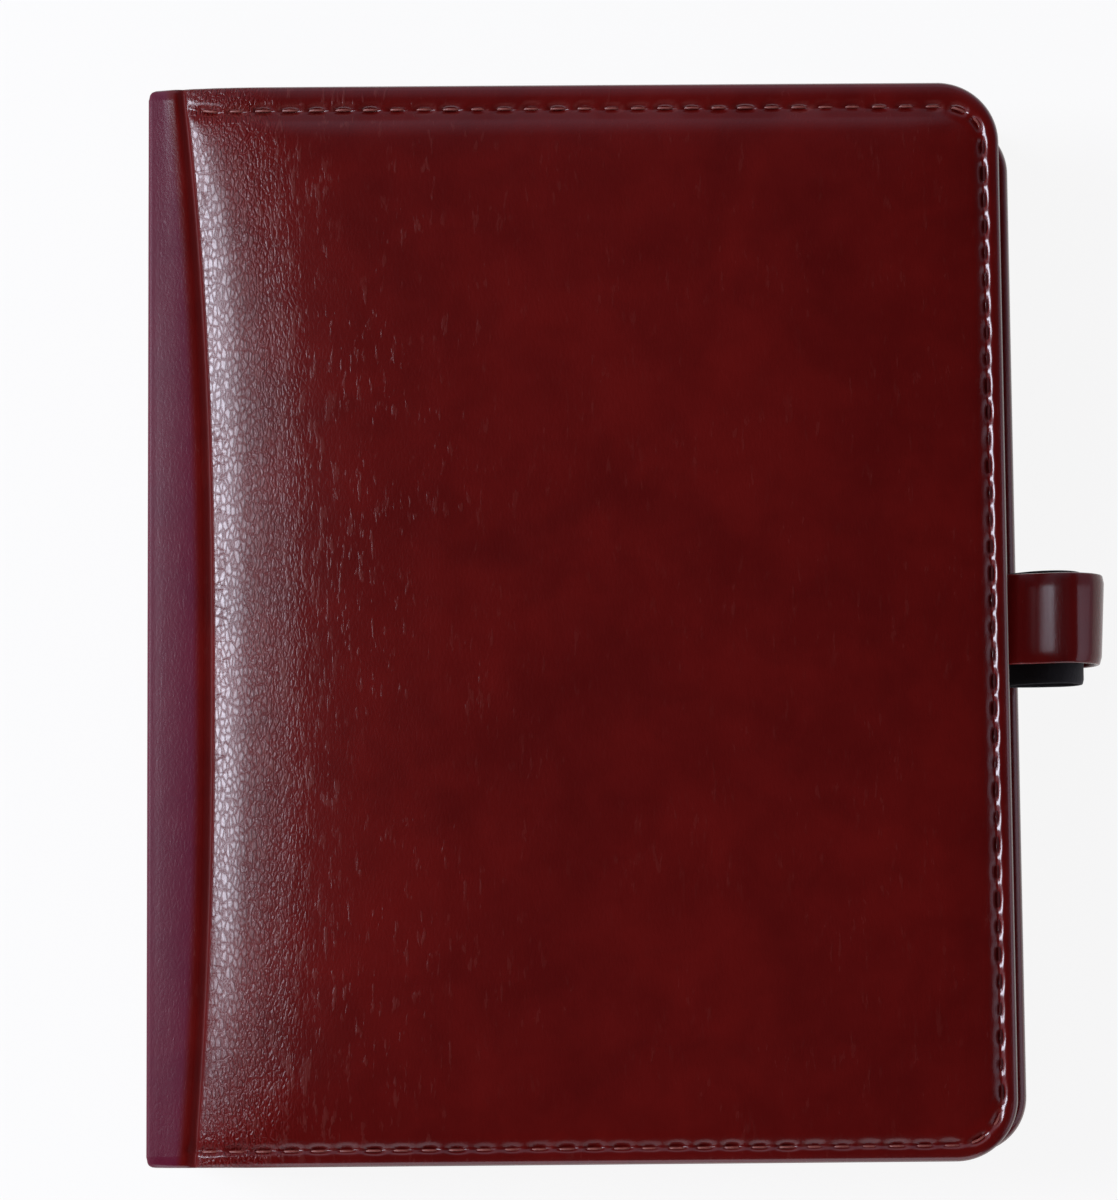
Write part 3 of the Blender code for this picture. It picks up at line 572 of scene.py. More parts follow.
# Where the painted shade on the fore-edge thread gives way to the thread's own colour, by distance along y
PAINTED_SHADE_ENDS = (61.0, 66.0)


def thread(name, dark, shade, pale):
    """Waxed sewing thread with a slight unevenness; along the fore edge it is painted dark as painted shade
    of the stitch holes.
    """
    finish = Finish(name)
    place = finish.place()
    twist = place.noise(2.5)
    # Painted shade: the thread turns dark along the fore edge, where the holes lie in shade
    out_of_painted_shade = abs(place.part("Y")).step(*PAINTED_SHADE_ENDS)
    finish.set(Base_Color=out_of_painted_shade.mix(dark, twist.mix(shade, pale)), Roughness=0.36 + twist * 0.2)
    return finish.bump(twist, 0.05)


def lining_cloth(name):
    """Smooth lining leather: fine grain, soft blotches, low gloss."""
    finish = Finish(name)
    place = finish.place()
    cloud = place.noise(0.12, 3.0, 0.6)
    pebble = place.cells(1.7).step(0.0, 0.25)
    pore = place.noise(4.0, 2.0, 0.6)
    finish.set(
        Base_Color=cloud.mix(colour(0.046, 0.0046, 0.0052), colour(0.074, 0.0078, 0.0080)),
        Roughness=0.46 + cloud * 0.14,
    )
    return finish.bump(pebble * 0.6 + pore * 0.4, 0.06, 0.7)


def polished_metal(name):
    """Bright nickel plate with faint smears."""
    finish = Finish(name)
    place = finish.place()
    smear = place.scaled((1.0, 0.25, 1.0)).noise(0.35, 3.0, 0.6)
    fine = place.noise(2.0)
    finish.set(
        Base_Color=smear.mix(colour(0.66, 0.66, 0.68), colour(0.80, 0.80, 0.81)),
        Roughness=0.10 + smear * 0.12 + fine * 0.04,
        Metallic=1.0,
    )
    return finish.bump(fine, 0.01, 0.3)


def ribbed_elastic(name):
    """Black elastic with the grain of fine woven threads."""
    finish = Finish(name)
    place = finish.place()
    fuzz = place.noise(3.0, 3.0, 0.6)
    threads = place.scaled((2.6, 1.2, 2.6)).noise(1.6)
    finish.set(
        Base_Color=threads.mix(colour(0.0045, 0.0045, 0.0052), colour(0.013, 0.013, 0.0145)),
        Roughness=0.72 + fuzz * 0.15,
        Sheen_Weight=0.15,
    )
    return finish.bump(threads * 0.6 + fuzz * 0.4, 0.08, 0.8)


# Rules on the paper: where they run along x and y, as zones, how wide each kind is, and where it lies
RULES_X = (33.0, 33.1, 92.0, 92.1)
RULES_Y = (-52.0, -51.9, 43.9, 44.0)
HEADING_X = (31.0, 31.1, 92.0, 92.1)
MARGIN_Y = (-52.0, -51.9, 51.9, 52.0)
RULE_WIDTH = (0.07, 0.16)
HEADING_WIDTH = (0.22, 0.32)
MARGIN_WIDTH = (0.07, 0.15)
RULE_PITCH = 6.0
RULE_FIRST = -54.0
HEADING_LINE = 47.0
MARGIN_LINE = 31.0


def ruled_paper(name):
    """Cream planner paper with grey rules, a heading rule and a margin line on both faces."""
    finish = Finish(name)
    place = finish.place()
    x = place.part("X") - X_ORIGIN
    y = place.part("Y")
    fibre = place.noise(0.9, 4.0, 0.65)
    rule = 1 - abs((y - RULE_FIRST).wrap(RULE_PITCH) - RULE_PITCH / 2).step(*RULE_WIDTH)
    margin = (1 - abs(x - MARGIN_LINE).step(*MARGIN_WIDTH)) * y.hump(*MARGIN_Y)
    heading = (1 - abs(y - HEADING_LINE).step(*HEADING_WIDTH)) * x.hump(*HEADING_X)
    ink = (rule * y.hump(*RULES_Y) * x.hump(*RULES_X)).most(margin).most(heading)
    sheet = fibre.mix(colour(0.74, 0.71, 0.62), colour(0.84, 0.82, 0.75))
    finish.set(Base_Color=(ink * 0.75).mix(sheet, colour(0.26, 0.27, 0.30)), Roughness=0.82 + fibre * 0.1)
    return finish.bump(fibre, 0.02, 0.4)


def kraft_card(name, shade, deep):
    """Divider card with flecks."""
    finish = Finish(name)
    place = finish.place()
    fibre = place.scaled((0.6, 1.6, 1.0)).noise(1.1, 4.0, 0.7)
    fleck = place.noise(1.8, 2.0, 0.6).step(0.62, 0.70)
    body = (fleck * 0.5).mix(fibre.mix(deep, shade), deep)
    finish.set(Base_Color=body, Roughness=0.72 + fibre * 0.12)
    return finish.bump(fibre, 0.03, 0.4)


def frosted_film(name):
    """Frosted plastic leaf, partly see-through."""
    finish = Finish(name)
    haze = finish.place().noise(0.2, 3.0, 0.6)
    finish.set(
        Base_Color=haze.mix(colour(0.70, 0.72, 0.74), colour(0.78, 0.79, 0.80)),
        Roughness=0.34 + haze * 0.1,
        Transmission_Weight=0.35,
        IOR=1.46,
    )
    return finish.bump(haze, 0.02, 0.3)


cover_finish = leather("burgundy_leather", MAROON, BURGUNDY, BURGUNDY, 1.0, 1.0, 1.0)
loop_finish = leather("loop_leather", LOOP_DARK, LOOP_RED, LOOP_PAINTED_LIGHT, 0.0, 0.8, 0.7)
# The first colour is painted shade for the fore-edge stitches, which sit in shaded holes
thread_finish = thread(
    "dusty_red_thread", colour(0.050, 0.0036, 0.0036), colour(0.17, 0.030, 0.024), colour(0.36, 0.115, 0.085)
)
lining_finish = lining_cloth("burgundy_lining")
metal_finish = polished_metal("bright_nickel")
elastic_finish = ribbed_elastic("black_elastic")
paper_finish = ruled_paper("ruled_paper")
divider_finish = kraft_card("divider_card", colour(0.52, 0.36, 0.22), colour(0.33, 0.21, 0.12))
film_finish = frosted_film("frosted_film")

# Padded leather covers

FRONT_CORNER = 8.0
BACK_CORNER = 7.4
LINE_STEP = 0.55
EDGE_BAND = 7.2
SEAM_INSET = 2.2
HEAD_SHIFT = 1.25
HEAD_FROM = 0.2
HEAD_REACH = 7.2
HEM = 6.0
CROWN_CORNER = 12.0
CROWN_INSETS = np.array([2.2, 2.9, 4.0, 5.2, 6.8, 8.6, 10.8, 14.0, 20.0, 30.0, 40.0])
CROWN_DEPTHS = np.array([1.20, 1.06, 0.85, 0.64, 0.40, 0.19, 0.0, -0.18, -0.36, -0.50, -0.55])
CROWN_BLEND = 0.22
CORNER_FALL = 0.12
SEAM_LINES = np.array([EDGE_BAND, 6.6, 6.0, 5.4, 4.8, 4.3, 3.8, 3.4, 3.05, 2.75, 2.45, SEAM_INSET])
BEAD_LINES = np.array([2.06, 1.92, 1.79, 1.66, 1.52, 1.35])
NOSE_INSETS = np.array([1.1, 0.62, 0.28, 0.07, 0.0, 0.07, 0.28, 0.7, 1.4, 3.0, HEM])
NOSE_COVER = np.array([0.03, 0.075, 0.15, 0.29, 0.48, 0.64, 0.78, 0.90, 0.97, 1.0, 1.0])
NOSE_SPINE = np.array([0.03, 0.07, 0.16, 0.32, 0.50, 0.68, 0.84, 0.94, 1.0, 1.0, 1.0])
EDGE_AT = 4
CHANNEL_DEPTH = 0.24
CHANNEL_INNER = 1.0
CHANNEL_OUTER = 0.36
DIMPLE_HALF = 0.40
LIP_REACH = 1.9
LIP_SPREAD = 0.7
SEAM_SPREAD = 1.0
SEAM_ASIDE = 1.0
STITCH_COUNT = 211
STITCH_RANGES = ((0.30, 0.58), (-0.12, 0.12), (1.00, 1.32))
STITCH_STRAYS = np.stack([RANDOM.uniform(*limits, STITCH_COUNT) for limits in STITCH_RANGES], axis=1)
STITCH_PITCH = 3.5
SEAM_START = 5.2
SEAM_FADE = 1.2
WAVE_X = 17.0
WAVE_Y = 23.0
WAVE_STARTS = (0.7, 1.1)
SLANT_WAVE = (9.0, 14.0)
SLANT_SHARE = 0.5
RIPPLE_BASE = 1.5
RIPPLE_FROM = 3.0
RIPPLE_OVER = 8.0

# Hinge control points: outer x and depth, how far each follows the bow of the groove, inner x and depth, and
# how much of the padded edge shape it takes
HINGE = np.array(
    [
        [0.00, MIDDLE, 0.0, 2.25, MIDDLE, 0.0],
        [-0.12, 9.50, 0.0, 2.25, 9.50, 0.0],
        [0.00, 6.00, 0.0, 2.25, 7.00, 0.0],
        [0.05, 4.30, 0.0, 2.10, 6.00, 0.0],
        [0.16, 3.72, 0.0, 2.15, 5.50, 0.0],
        [0.42, 3.46, 0.0, 2.20, 5.00, 0.0],
        [0.95, 3.36, 0.0, 2.40, 4.60, 0.0],
        [2.30, 3.19, 0.1, 2.90, 4.25, 0.0],
        [4.20, 2.97, 0.5, 4.60, 3.92, 0.0],
        [5.80, 2.86, 0.9, 5.90, 3.85, 0.05],
        [GROOVE_LINE, 3.10, 1.00, 6.95, RIM_DEPTH, 0.2],
        [7.35, 2.62, 1.00, 7.40, RIM_DEPTH, 0.4],
        [8.00, 2.29, 1.00, 8.00, RIM_DEPTH, 0.5],
        [8.90, 1.95, 1.00, 8.90, RIM_DEPTH, 0.7],
        [10.2, 1.57, 0.95, 10.2, RIM_DEPTH, 0.92],
        [11.6, 1.26, 0.88, 11.6, RIM_DEPTH, 1.0],
        [13.8, 0.89, 0.80, 13.8, RIM_DEPTH, 1.0],
        [16.0, 0.60, 0.66, 16.0, RIM_DEPTH, 1.0],
        [19.2, 0.25, 0.50, 19.2, RIM_DEPTH, 1.0],
        [24.0, -0.09, 0.34, 24.0, RIM_DEPTH, 1.0],
        [29.7, -0.34, 0.20, 29.7, RIM_DEPTH, 1.0],
        [38.0, -0.55, 0.00, 38.0, RIM_DEPTH, 1.0],
    ]
)
HINGE_STEPS = np.array([3, 4, 4, 4, 3, 3, 3, 4, 4, 4, 5, 3, 4, 4, 4, 5, 5, 6, 9, 11, 15])
FAR_INSIDE = -1000.0
PATH_STEP = 0.6
LEAST_GAP = 1e-6


def groove_bow(y):
    """How far the hinge groove lies from its straight line: peak - fall * |(y - middle) / half| ** power."""
    return BOW_PEAK - BOW_FALL * np.abs((y - BOW_MIDDLE) / BOW_HALF) ** BOW_POWER


def edge_lines(reach, corner):
    """Grid lines from a distance inside to the edge, round it and back along the hem.

    Gives each line's inset, its nose shares for cover and spine, its path number, which is the corner radius
    less the inset until the edge and grows on beyond it, and whether it lies on top.
    """
    count = int(math.ceil((reach - EDGE_BAND) / LINE_STEP))
    inner = np.linspace(reach, EDGE_BAND, count, endpoint=False)
    insets = np.concatenate([inner, SEAM_LINES, BEAD_LINES, NOSE_INSETS])
    plain = np.zeros(len(insets) - len(NOSE_INSETS))
    edge = len(plain) + EDGE_AT
    beyond = np.maximum(np.arange(len(insets)) - edge, 0)
    path = np.where(beyond > 0, corner + beyond * PATH_STEP, corner - insets)
    cover = np.concatenate([plain, NOSE_COVER])
    spine = np.concatenate([plain, NOSE_SPINE])
    return insets, cover, spine, path, beyond == 0


def seam_dip(inset, along):
    """How far leather sinks at the seam: a shallow channel, and a deeper oval at each stitch.

    Each stitch's oval has its own depth, sideways stray and length from STITCH_STRAYS. Also gives where the
    lips of the holes are, and how near the seam is, both from 0 to 1.
    """
    number = np.floor(along / STITCH_PITCH).astype(int)
    depth, stray, long = np.moveaxis(STITCH_STRAYS[number % len(STITCH_STRAYS)], -1, 0)
    across = inset - SEAM_INSET - stray
    phase = ((along / STITCH_PITCH) % 1.0 - 0.5) * STITCH_PITCH
    half = np.where(inset > SEAM_INSET, CHANNEL_INNER, CHANNEL_OUTER)
    channel = CHANNEL_DEPTH * np.exp(-(((inset - SEAM_INSET) / half) ** 2))
    reach = (across / DIMPLE_HALF) ** 2 + (phase / long) ** 4
    oval = depth * np.exp(-reach)
    lips = np.exp(-(((reach - LIP_REACH) / LIP_SPREAD) ** 2))
    near = np.exp(-(((inset - SEAM_INSET - SEAM_ASIDE) / SEAM_SPREAD) ** 4))
    return channel + oval, lips, near


def eased(value, low, high):
    """A smooth step from 0 at low to 1 at high: t ** 2 * (3 - 2 * t)."""
    t = np.clip((value - low) / (high - low), 0, 1)
    return t**2 * (3 - 2 * t)


def crown_depth(x, y, width):
    """The padding's fall towards the edge, by the distance inside a rounded box of larger corners."""
    over_x = x - (width - CROWN_CORNER)
    over_y = np.abs(y) - (HALF_HEIGHT - CROWN_CORNER)
    outside = np.hypot(np.maximum(over_x, 0), np.maximum(over_y, 0))
    inside = np.minimum(np.maximum(over_x, over_y), 0)
    return np.interp(CROWN_CORNER - outside - inside, CROWN_INSETS, CROWN_DEPTHS)


def deeper(first, second):
    """A softened maximum: k * log(exp(a / k) + exp(b / k))."""
    return CROWN_BLEND * np.logaddexp(first / CROWN_BLEND, second / CROWN_BLEND)


def cover_shell(width, corner, ripple, highest):
    """One cover's leather with half the spine, as x, y and depth below the flat face.

    Columns run from the spine's middle over the hinge, the padded face and the fore edge to the hem inside;
    rows run from the hem at the tail to the hem at the head. A point is outer + share * (inner - outer). In
    the square at a round corner the larger path number gives the radius and the ratio of the two the angle.
    The face is the deeper of the hinge's and the edge's shape, at most highest above the flat face.
    Along the head the seam and what lies beside it are moved in by HEAD_SHIFT, eased to nothing at the edge.
    Returns points, faces, the seam's line of points without its dips, the distance along it, and the values
    for the leather that each point carries.
    """
    samples = np.concatenate([k + np.arange(steps) / steps for k, steps in enumerate(HINGE_STEPS)])
    weights = spline_weights(len(HINGE), samples)
    hinge = weights @ HINGE
    hinge_count = len(samples)
    insets, cover, _, path, top = edge_lines(width - HINGE[-1, 0], corner)
    side_inset = np.concatenate([np.full(hinge_count, -FAR_INSIDE), insets])[:, None]
    side_path = np.concatenate([np.full(hinge_count, FAR_INSIDE), path])[:, None]
    side_share = np.concatenate([np.zeros(hinge_count), cover])[:, None]
    side_top = np.concatenate([np.ones(hinge_count, bool), top])[:, None]
    covering = np.concatenate([np.clip(hinge[:, 5], 0, 1), np.ones(len(insets))])[:, None]

    half_insets, half_cover, half_spine, half_path, half_top = edge_lines(HALF_HEIGHT, corner)
    mirror = np.concatenate([np.arange(len(half_insets))[:0:-1], np.arange(len(half_insets))])
    sign = np.concatenate([-np.ones(len(half_insets) - 1), np.ones(len(half_insets))])[None]
    end_inset = half_insets[mirror][None]
    end_path = half_path[mirror][None]
    end_share = covering * half_cover[mirror][None] + (1 - covering) * half_spine[mirror][None]
    end_top = half_top[mirror][None]

    by_side = side_path >= end_path
    inset = np.where(by_side, side_inset, end_inset)
    nose = np.where(by_side, side_share, end_share)
    on_top = side_top & end_top
    cornered = (side_path > 0) & (end_path > 0)
    from_side = end_path / np.maximum(side_path, LEAST_GAP)
    from_end = 2.0 - side_path / np.maximum(end_path, LEAST_GAP)
    turn = np.where(by_side, from_side, from_end)
    turn = np.where(cornered, turn * math.pi / 4, 0.0)
    radius = corner - inset
    y = sign * (HALF_HEIGHT - np.where(cornered, corner - radius * np.sin(turn), end_inset))
    bow = groove_bow(y[:hinge_count])
    flat_x = width - np.where(cornered, corner - radius * np.cos(turn), side_inset)
    outer_x = np.concatenate([hinge[:, :1] + hinge[:, 2:3] * bow, flat_x[hinge_count:]])
    outer_depth = np.concatenate([hinge[:, 1], np.full(len(insets), HINGE[-1, 1])])[:, None]
    inner_x = np.concatenate([hinge[:, 3:4] + hinge[:, 2:3] * bow, outer_x[hinge_count:]])
    inner_depth = np.concatenate([hinge[:, 4], np.full(len(insets), RIM_DEPTH)])[:, None]
    edge_fall = crown_depth(outer_x, y, width)
    both = (outer_depth - HINGE[-1, 1]) * (edge_fall - CROWN_DEPTHS[-1])
    fallen = np.minimum(deeper(outer_depth, edge_fall) + CORNER_FALL * both, inner_depth)
    fallen = np.maximum(fallen, -highest)
    outer_depth = np.maximum(outer_depth, -highest)
    crown = covering * (fallen - outer_depth) / np.maximum(inner_depth - outer_depth, LEAST_GAP)
    share = crown + (1 - crown) * nose

    straight = HALF_HEIGHT - corner
    arc = corner - SEAM_INSET
    past_corner = straight + arc * math.pi / 2 + width - corner - outer_x
    along = np.where(cornered, straight + arc * turn, np.where(by_side, np.abs(y), past_corner)) * sign
    thick = np.hypot(inner_x - outer_x, inner_depth - outer_depth)
    sewn = np.clip((outer_x - SEAM_START) / SEAM_FADE, 0, 1) * on_top
    dip, lips, near = seam_dip(inset, along)
    dip = sewn * dip
    # The lips' value carries both the rubbed leather and a painted highlight
    shares = {"wear": sewn * lips, "seam": sewn * near}
    wave = np.sin(outer_x / WAVE_X + WAVE_STARTS[0]) * np.sin(y / WAVE_Y + WAVE_STARTS[1])
    wave = wave + SLANT_SHARE * np.sin(outer_x / SLANT_WAVE[0] + y / SLANT_WAVE[1])
    from_edge = np.minimum(inset, HALF_HEIGHT - np.abs(y))
    away = np.clip((from_edge - RIPPLE_FROM) / RIPPLE_OVER, 0, 1)
    dip = dip + np.where(on_top, ripple * (RIPPLE_BASE + wave) * away * covering, 0.0)

    headed = np.where(cornered, eased(turn, 0.0, math.pi / 2), ~by_side) * (sign > 0) * on_top * covering
    beside_seam = eased(inset, HEAD_FROM, SEAM_INSET) * (1 - eased(inset, SEAM_INSET, HEAD_REACH))
    moved_y = y - HEAD_SHIFT * headed * beside_seam

    def points_at(shares):
        x = outer_x + shares * (inner_x - outer_x)
        depth = outer_depth + shares * (inner_depth - outer_depth)
        return np.stack(np.broadcast_arrays(x, moved_y, depth), axis=-1)

    points = points_at(share + dip / thick)
    plain = points_at(share)
    columns, rows = y.shape
    index = np.arange(columns * rows).reshape(columns, rows)
    faces = grid_faces(columns, rows)
    inside = np.stack([index[1:, 0], index[:-1, 0], index[:-1, -1], index[1:, -1]], axis=1)
    faces += inside.tolist()
    faces.append(index[-1, ::-1].tolist())
    faces.append(index[0].tolist())

    seam_column = hinge_count + int(np.argmin(np.abs(np.where(top, insets, width) - SEAM_INSET)))
    seam_row = int(np.argmin(np.abs(np.where(half_top, half_insets, width) - SEAM_INSET)))
    head = len(half_insets) - 1 + seam_row
    tail = len(half_insets) - 1 - seam_row
    line = np.concatenate(
        [index[: seam_column + 1, tail], index[seam_column, tail + 1 : head], index[seam_column::-1, head]]
    )
    seam = plain.reshape(-1, 3)[line]
    seam_along = np.broadcast_to(along, (columns, rows)).reshape(-1)[line]
    keep = seam[:, 0] > SEAM_START - STITCH_PITCH
    return points.reshape(-1, 3), faces, seam[keep], seam_along[keep], shares


THREAD_RADIUS = 0.16
THREAD_HALF = 1.15
THREAD_ASIDE = 0.16
THREAD_SINK = 0.62
THREAD_RISE = 0.26
THREAD_SIDES = 6
THREAD_STEPS = 7
THREAD_TAPER = 0.75
TAPER_POWER = 6
LEAST_TAPER = 0.05


def stitches(seam, along, skip_below, middle):
    """Short arched bars of thread along a seam, as high as rise * (1 - s ** 2) less how far they sink.

    seam holds points x, y and depth, and along the distance of each; a stitch is at each half pitch. The
    bars lie a little aside, away from the middle of the cover. Those left of skip_below are left out.
    """
    first = math.ceil(along.min() / STITCH_PITCH - 0.5)
    last = math.floor(along.max() / STITCH_PITCH - 0.5)
    centres = (np.arange(first, last + 1) + 0.5) * STITCH_PITCH
    spread = np.linspace(-1.0, 1.0, THREAD_STEPS)
    places = centres[:, None] + THREAD_HALF * spread[None]
    order = np.argsort(along)
    where = [np.interp(places, along[order], seam[order, k]) for k in range(3)]
    sunk = THREAD_SINK - THREAD_RISE * (1 - spread**2)
    path = np.stack([where[0], where[1], where[2] + sunk[None]], axis=-1)
    way = np.gradient(path, axis=1)
    way /= np.linalg.norm(way, axis=2)[..., None] + LEAST_GAP
    up = np.array([0.0, 0.0, -1.0])
    side = np.cross(way, up)
    side /= np.linalg.norm(side, axis=2)[..., None] + LEAST_GAP
    away = np.sign(np.sum(side[..., :2] * (path[..., :2] - middle), axis=2))
    path = path + side * away[..., None] * THREAD_ASIDE
    other = np.cross(side, way)
    turn = 2 * math.pi * np.arange(THREAD_SIDES) / THREAD_SIDES
    taper = np.maximum(1 - THREAD_TAPER * spread**TAPER_POWER, LEAST_TAPER)
    radii = THREAD_RADIUS * np.sqrt(taper)
    ring = side[:, :, None] * np.cos(turn)[:, None] + other[:, :, None] * np.sin(turn)[:, None]
    points = path[:, :, None] + ring * radii[None, :, None, None]
    kept = path[:, THREAD_STEPS // 2, 0] > skip_below
    points = points[kept]
    bar = np.array(grid_faces(THREAD_STEPS, THREAD_SIDES, close_columns=True))
    size = THREAD_STEPS * THREAD_SIDES
    starts = np.arange(len(points)) * size
    faces = (bar[None] + starts[:, None, None]).reshape(-1, 4).tolist()
    cap = np.arange(THREAD_SIDES)
    faces += (cap[None] + starts[:, None]).tolist()
    faces += (cap[None, ::-1] + starts[:, None] + size - THREAD_SIDES).tolist()
    return points.reshape(-1, 3), faces


def set_height(points, front):
    """Turns depths below a cover's face into heights, for the front or the back cover."""
    placed = np.array(points)
    placed[:, 2] = THICKNESS - placed[:, 2] if front else placed[:, 2]
    return placed


FRONT_RIPPLE = 0.05
FRONT_HIGHEST = 2.0


for side, width, corner, ripple, highest in (
    ("front", FRONT_WIDTH, FRONT_CORNER, FRONT_RIPPLE, FRONT_HIGHEST),
    ("back", BACK_WIDTH, BACK_CORNER, 0.0, 0.0),
):
    is_front = side == "front"
    points, faces, seam, seam_along, shares = cover_shell(width, corner, ripple, highest)
    shell = add_piece(side + "_leather", set_height(points, is_front), faces, cover_finish, CREASE)
    for value_name, values in shares.items():
        layer = shell.data.attributes.new(value_name, "FLOAT", "POINT")
        layer.data.foreach_set("value", values.astype(np.float32).ravel())
    if is_front:
        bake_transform(shell)
    else:
        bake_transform(shell)
    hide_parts(side + "_skin", side + "_foam", side + "_board", "spine_skin", "spine_board")
    thread_points, thread_faces = stitches(seam, seam_along, SEAM_START, np.array([width / 2, 0.0]))
    bars = set_height(thread_points, is_front), thread_faces
    put(side + "_stitching", bars, thread_finish, side + "_cover", "cover_leather")

# Linings, pockets and card slots

SMALL_ROUND = 0.4
LINING_EDGE = 0.17
LINING_CORNERS = (7.6, SMALL_ROUND, SMALL_ROUND, 7.6)
POCKET_CORNERS = (7.2, SMALL_ROUND, SMALL_ROUND, 7.2)
BACK_POCKET_CORNERS = (2.0, 2.0, SMALL_ROUND, 2.0)
SLOT_CORNERS = (1.0, 1.0, SMALL_ROUND, 6.0)
SPINE_EDGE = 0.2
SPINE_CORNERS = (1.0, 1.0, 1.0, 1.0)
for node, body, radii in (
    ("front_lining", "front_cover", LINING_CORNERS),
    ("back_lining", "back_cover", LINING_CORNERS),
    ("front_pocket", "front_cover", POCKET_CORNERS),
    ("back_pocket", "back_cover", BACK_POCKET_CORNERS),
    ("card_slot_1", "front_cover", SLOT_CORNERS),
    ("card_slot_2", "front_cover", SLOT_CORNERS),
    ("card_slot_3", "front_cover", SLOT_CORNERS),
    ("spine_lining", "spine", SPINE_CORNERS),
):
    low, high = local_box(node)
    if body == "spine":
        outline = rounded_outline(low[1], high[1], low[2], high[2], radii)
        panel = plate(outline, low[0], high[0], SPINE_EDGE, "yzx")
    else:
        outline = rounded_outline(low[0], high[0], low[1], high[1], radii)
        panel = plate(outline, low[2], high[2], LINING_EDGE)
    put(node + "_panel", panel, lining_finish, body, "lining", node)

# Ring mechanism

RING_X = 12.65
RING_RADIUS = 6.4
WIRE_RADIUS = 0.9
RING_YS = np.array([-50.75, -31.75, -12.75, 12.75, 31.75, 50.75])
STEM = np.array([4.05, 3.75])
TIP_GAP = 0.1
ARC_END = math.radians(135.0)
ARC_STEPS = 40
STEM_STEPS = 12
STEM_BEND = np.array([6.25, 4.10])

arc = np.linspace(TIP_GAP / RING_RADIUS, ARC_END, ARC_STEPS)
arc_points = np.stack([RING_X + RING_RADIUS * np.cos(arc), RING_RADIUS * np.sin(arc)], axis=1)
way = np.linspace(0.0, 1.0, STEM_STEPS)[1:, None]
stem_points = (1 - way) ** 2 * arc_points[-1] + 2 * way * (1 - way) * STEM_BEND + way**2 * STEM
half_ring = np.concatenate([arc_points, stem_points])
for side, sign in (("upper", 1.0), ("lower", -1.0)):
    for number, ring_y in enumerate(RING_YS, 1):
        level = np.full(len(half_ring), ring_y)
        path = np.stack([half_ring[:, 0], level, MIDDLE + sign * half_ring[:, 1]], axis=1)
        ring = tube(path, WIRE_RADIUS, (0.0, 1.0, 0.0))
        node = "%s_ring_%d" % (side, number)
        put("%s_half_ring_%d" % (side, number), ring, metal_finish, side + "_rings", "metal", node)

HOUSING_LOW, HOUSING_HIGH = local_box("ring_housing")
HOUSING_HALF = HOUSING_HIGH[2] - MIDDLE
HOUSING_LIP = 1.4
HOUSING_RISE = HOUSING_HIGH[0] - HOUSING_LOW[0] - HOUSING_LIP
HOUSING_PLATE = 0.8
NOTCH_HALF = 1.3
NOTCH_FROM = 0.58
RIVET_HOLE = 1.3
RIVET_Y = 59.35
RIVET_REACH = 0.25
ARCH_STEPS = 29
HOUSING_COLUMNS = 40

arch_breaks = [-NOTCH_FROM, NOTCH_FROM, -RIVET_REACH, RIVET_REACH]
arch = np.unique(np.concatenate([np.linspace(-1.0, 1.0, ARCH_STEPS), arch_breaks]))
arch_sides = np.concatenate([[-1.0], arch, [1.0]])
outer_x = HOUSING_LOW[0] + HOUSING_LIP + HOUSING_RISE * (1 - arch_sides**2)
outer_x[[0, -1]] = HOUSING_LOW[0]
inner_x = outer_x - HOUSING_PLATE
inner_x[[0, -1]] = HOUSING_LOW[0]
inner_half = HOUSING_HALF - HOUSING_PLATE
rivet_ys = np.array([-RIVET_Y, RIVET_Y])
breaks = [RING_YS - NOTCH_HALF, RING_YS + NOTCH_HALF, rivet_ys - RIVET_HOLE, rivet_ys + RIVET_HOLE]
breaks.append(np.linspace(HOUSING_LOW[1], HOUSING_HIGH[1], HOUSING_COLUMNS))
columns_y = np.unique(np.concatenate(breaks))


def arch_grid(x, half):
    """The housing's grid: one row for each step over the arch, one column for each place along y."""
    z = MIDDLE + half * arch_sides
    shape = (len(x), len(columns_y))
    along = np.broadcast_to(columns_y, shape)
    return np.stack([np.broadcast_to(x[:, None], shape), along, np.broadcast_to(z[:, None], shape)], axis=-1)


cell_across = np.abs(arch_sides[:-1] + arch_sides[1:])[:, None] / 2
cell_along = (columns_y[:-1] + columns_y[1:])[None] / 2
by_ring = np.abs(cell_along[..., None] - RING_YS).min(axis=-1) < NOTCH_HALF
by_rivet = np.abs(np.abs(cell_along) - RIVET_Y) < RIVET_HOLE
kept_cells = ~((cell_across > NOTCH_FROM) & by_ring) & ~((cell_across < RIVET_REACH) & by_rivet)
housing = pierced(arch_grid(outer_x, HOUSING_HALF), arch_grid(inner_x, inner_half), kept_cells)
put("arched_housing", housing, metal_finish, "spine", "metal", "ring_housing")

SHAFT_RADIUS = 1.1
RIVET_HEAD = 0.8
RIVET_RIM = 0.2
RIM_ROUND = 0.1
DOME_TIP = 0.04
DOME_STEPS = 7
dome = np.linspace(0.0, math.pi / 2, DOME_STEPS)
for end in ("head", "tail"):
    low, high = local_box(end + "_rivet")
    radius = (high[1] - low[1]) / 2
    start = high[0] - RIVET_HEAD
    rise = start + RIVET_RIM + (RIVET_HEAD - RIVET_RIM) * np.sin(dome)
    head = np.stack([rise, radius * np.cos(dome) + DOME_TIP], axis=1)
    shaft = np.array([[low[0], SHAFT_RADIUS], [start, SHAFT_RADIUS], [start, radius - RIM_ROUND]])
    rivet = turned(np.concatenate([shaft, head]), (low[1] + high[1]) / 2, MIDDLE)
    put(end + "_domed_rivet", rivet, metal_finish, "spine", "metal", end + "_rivet")

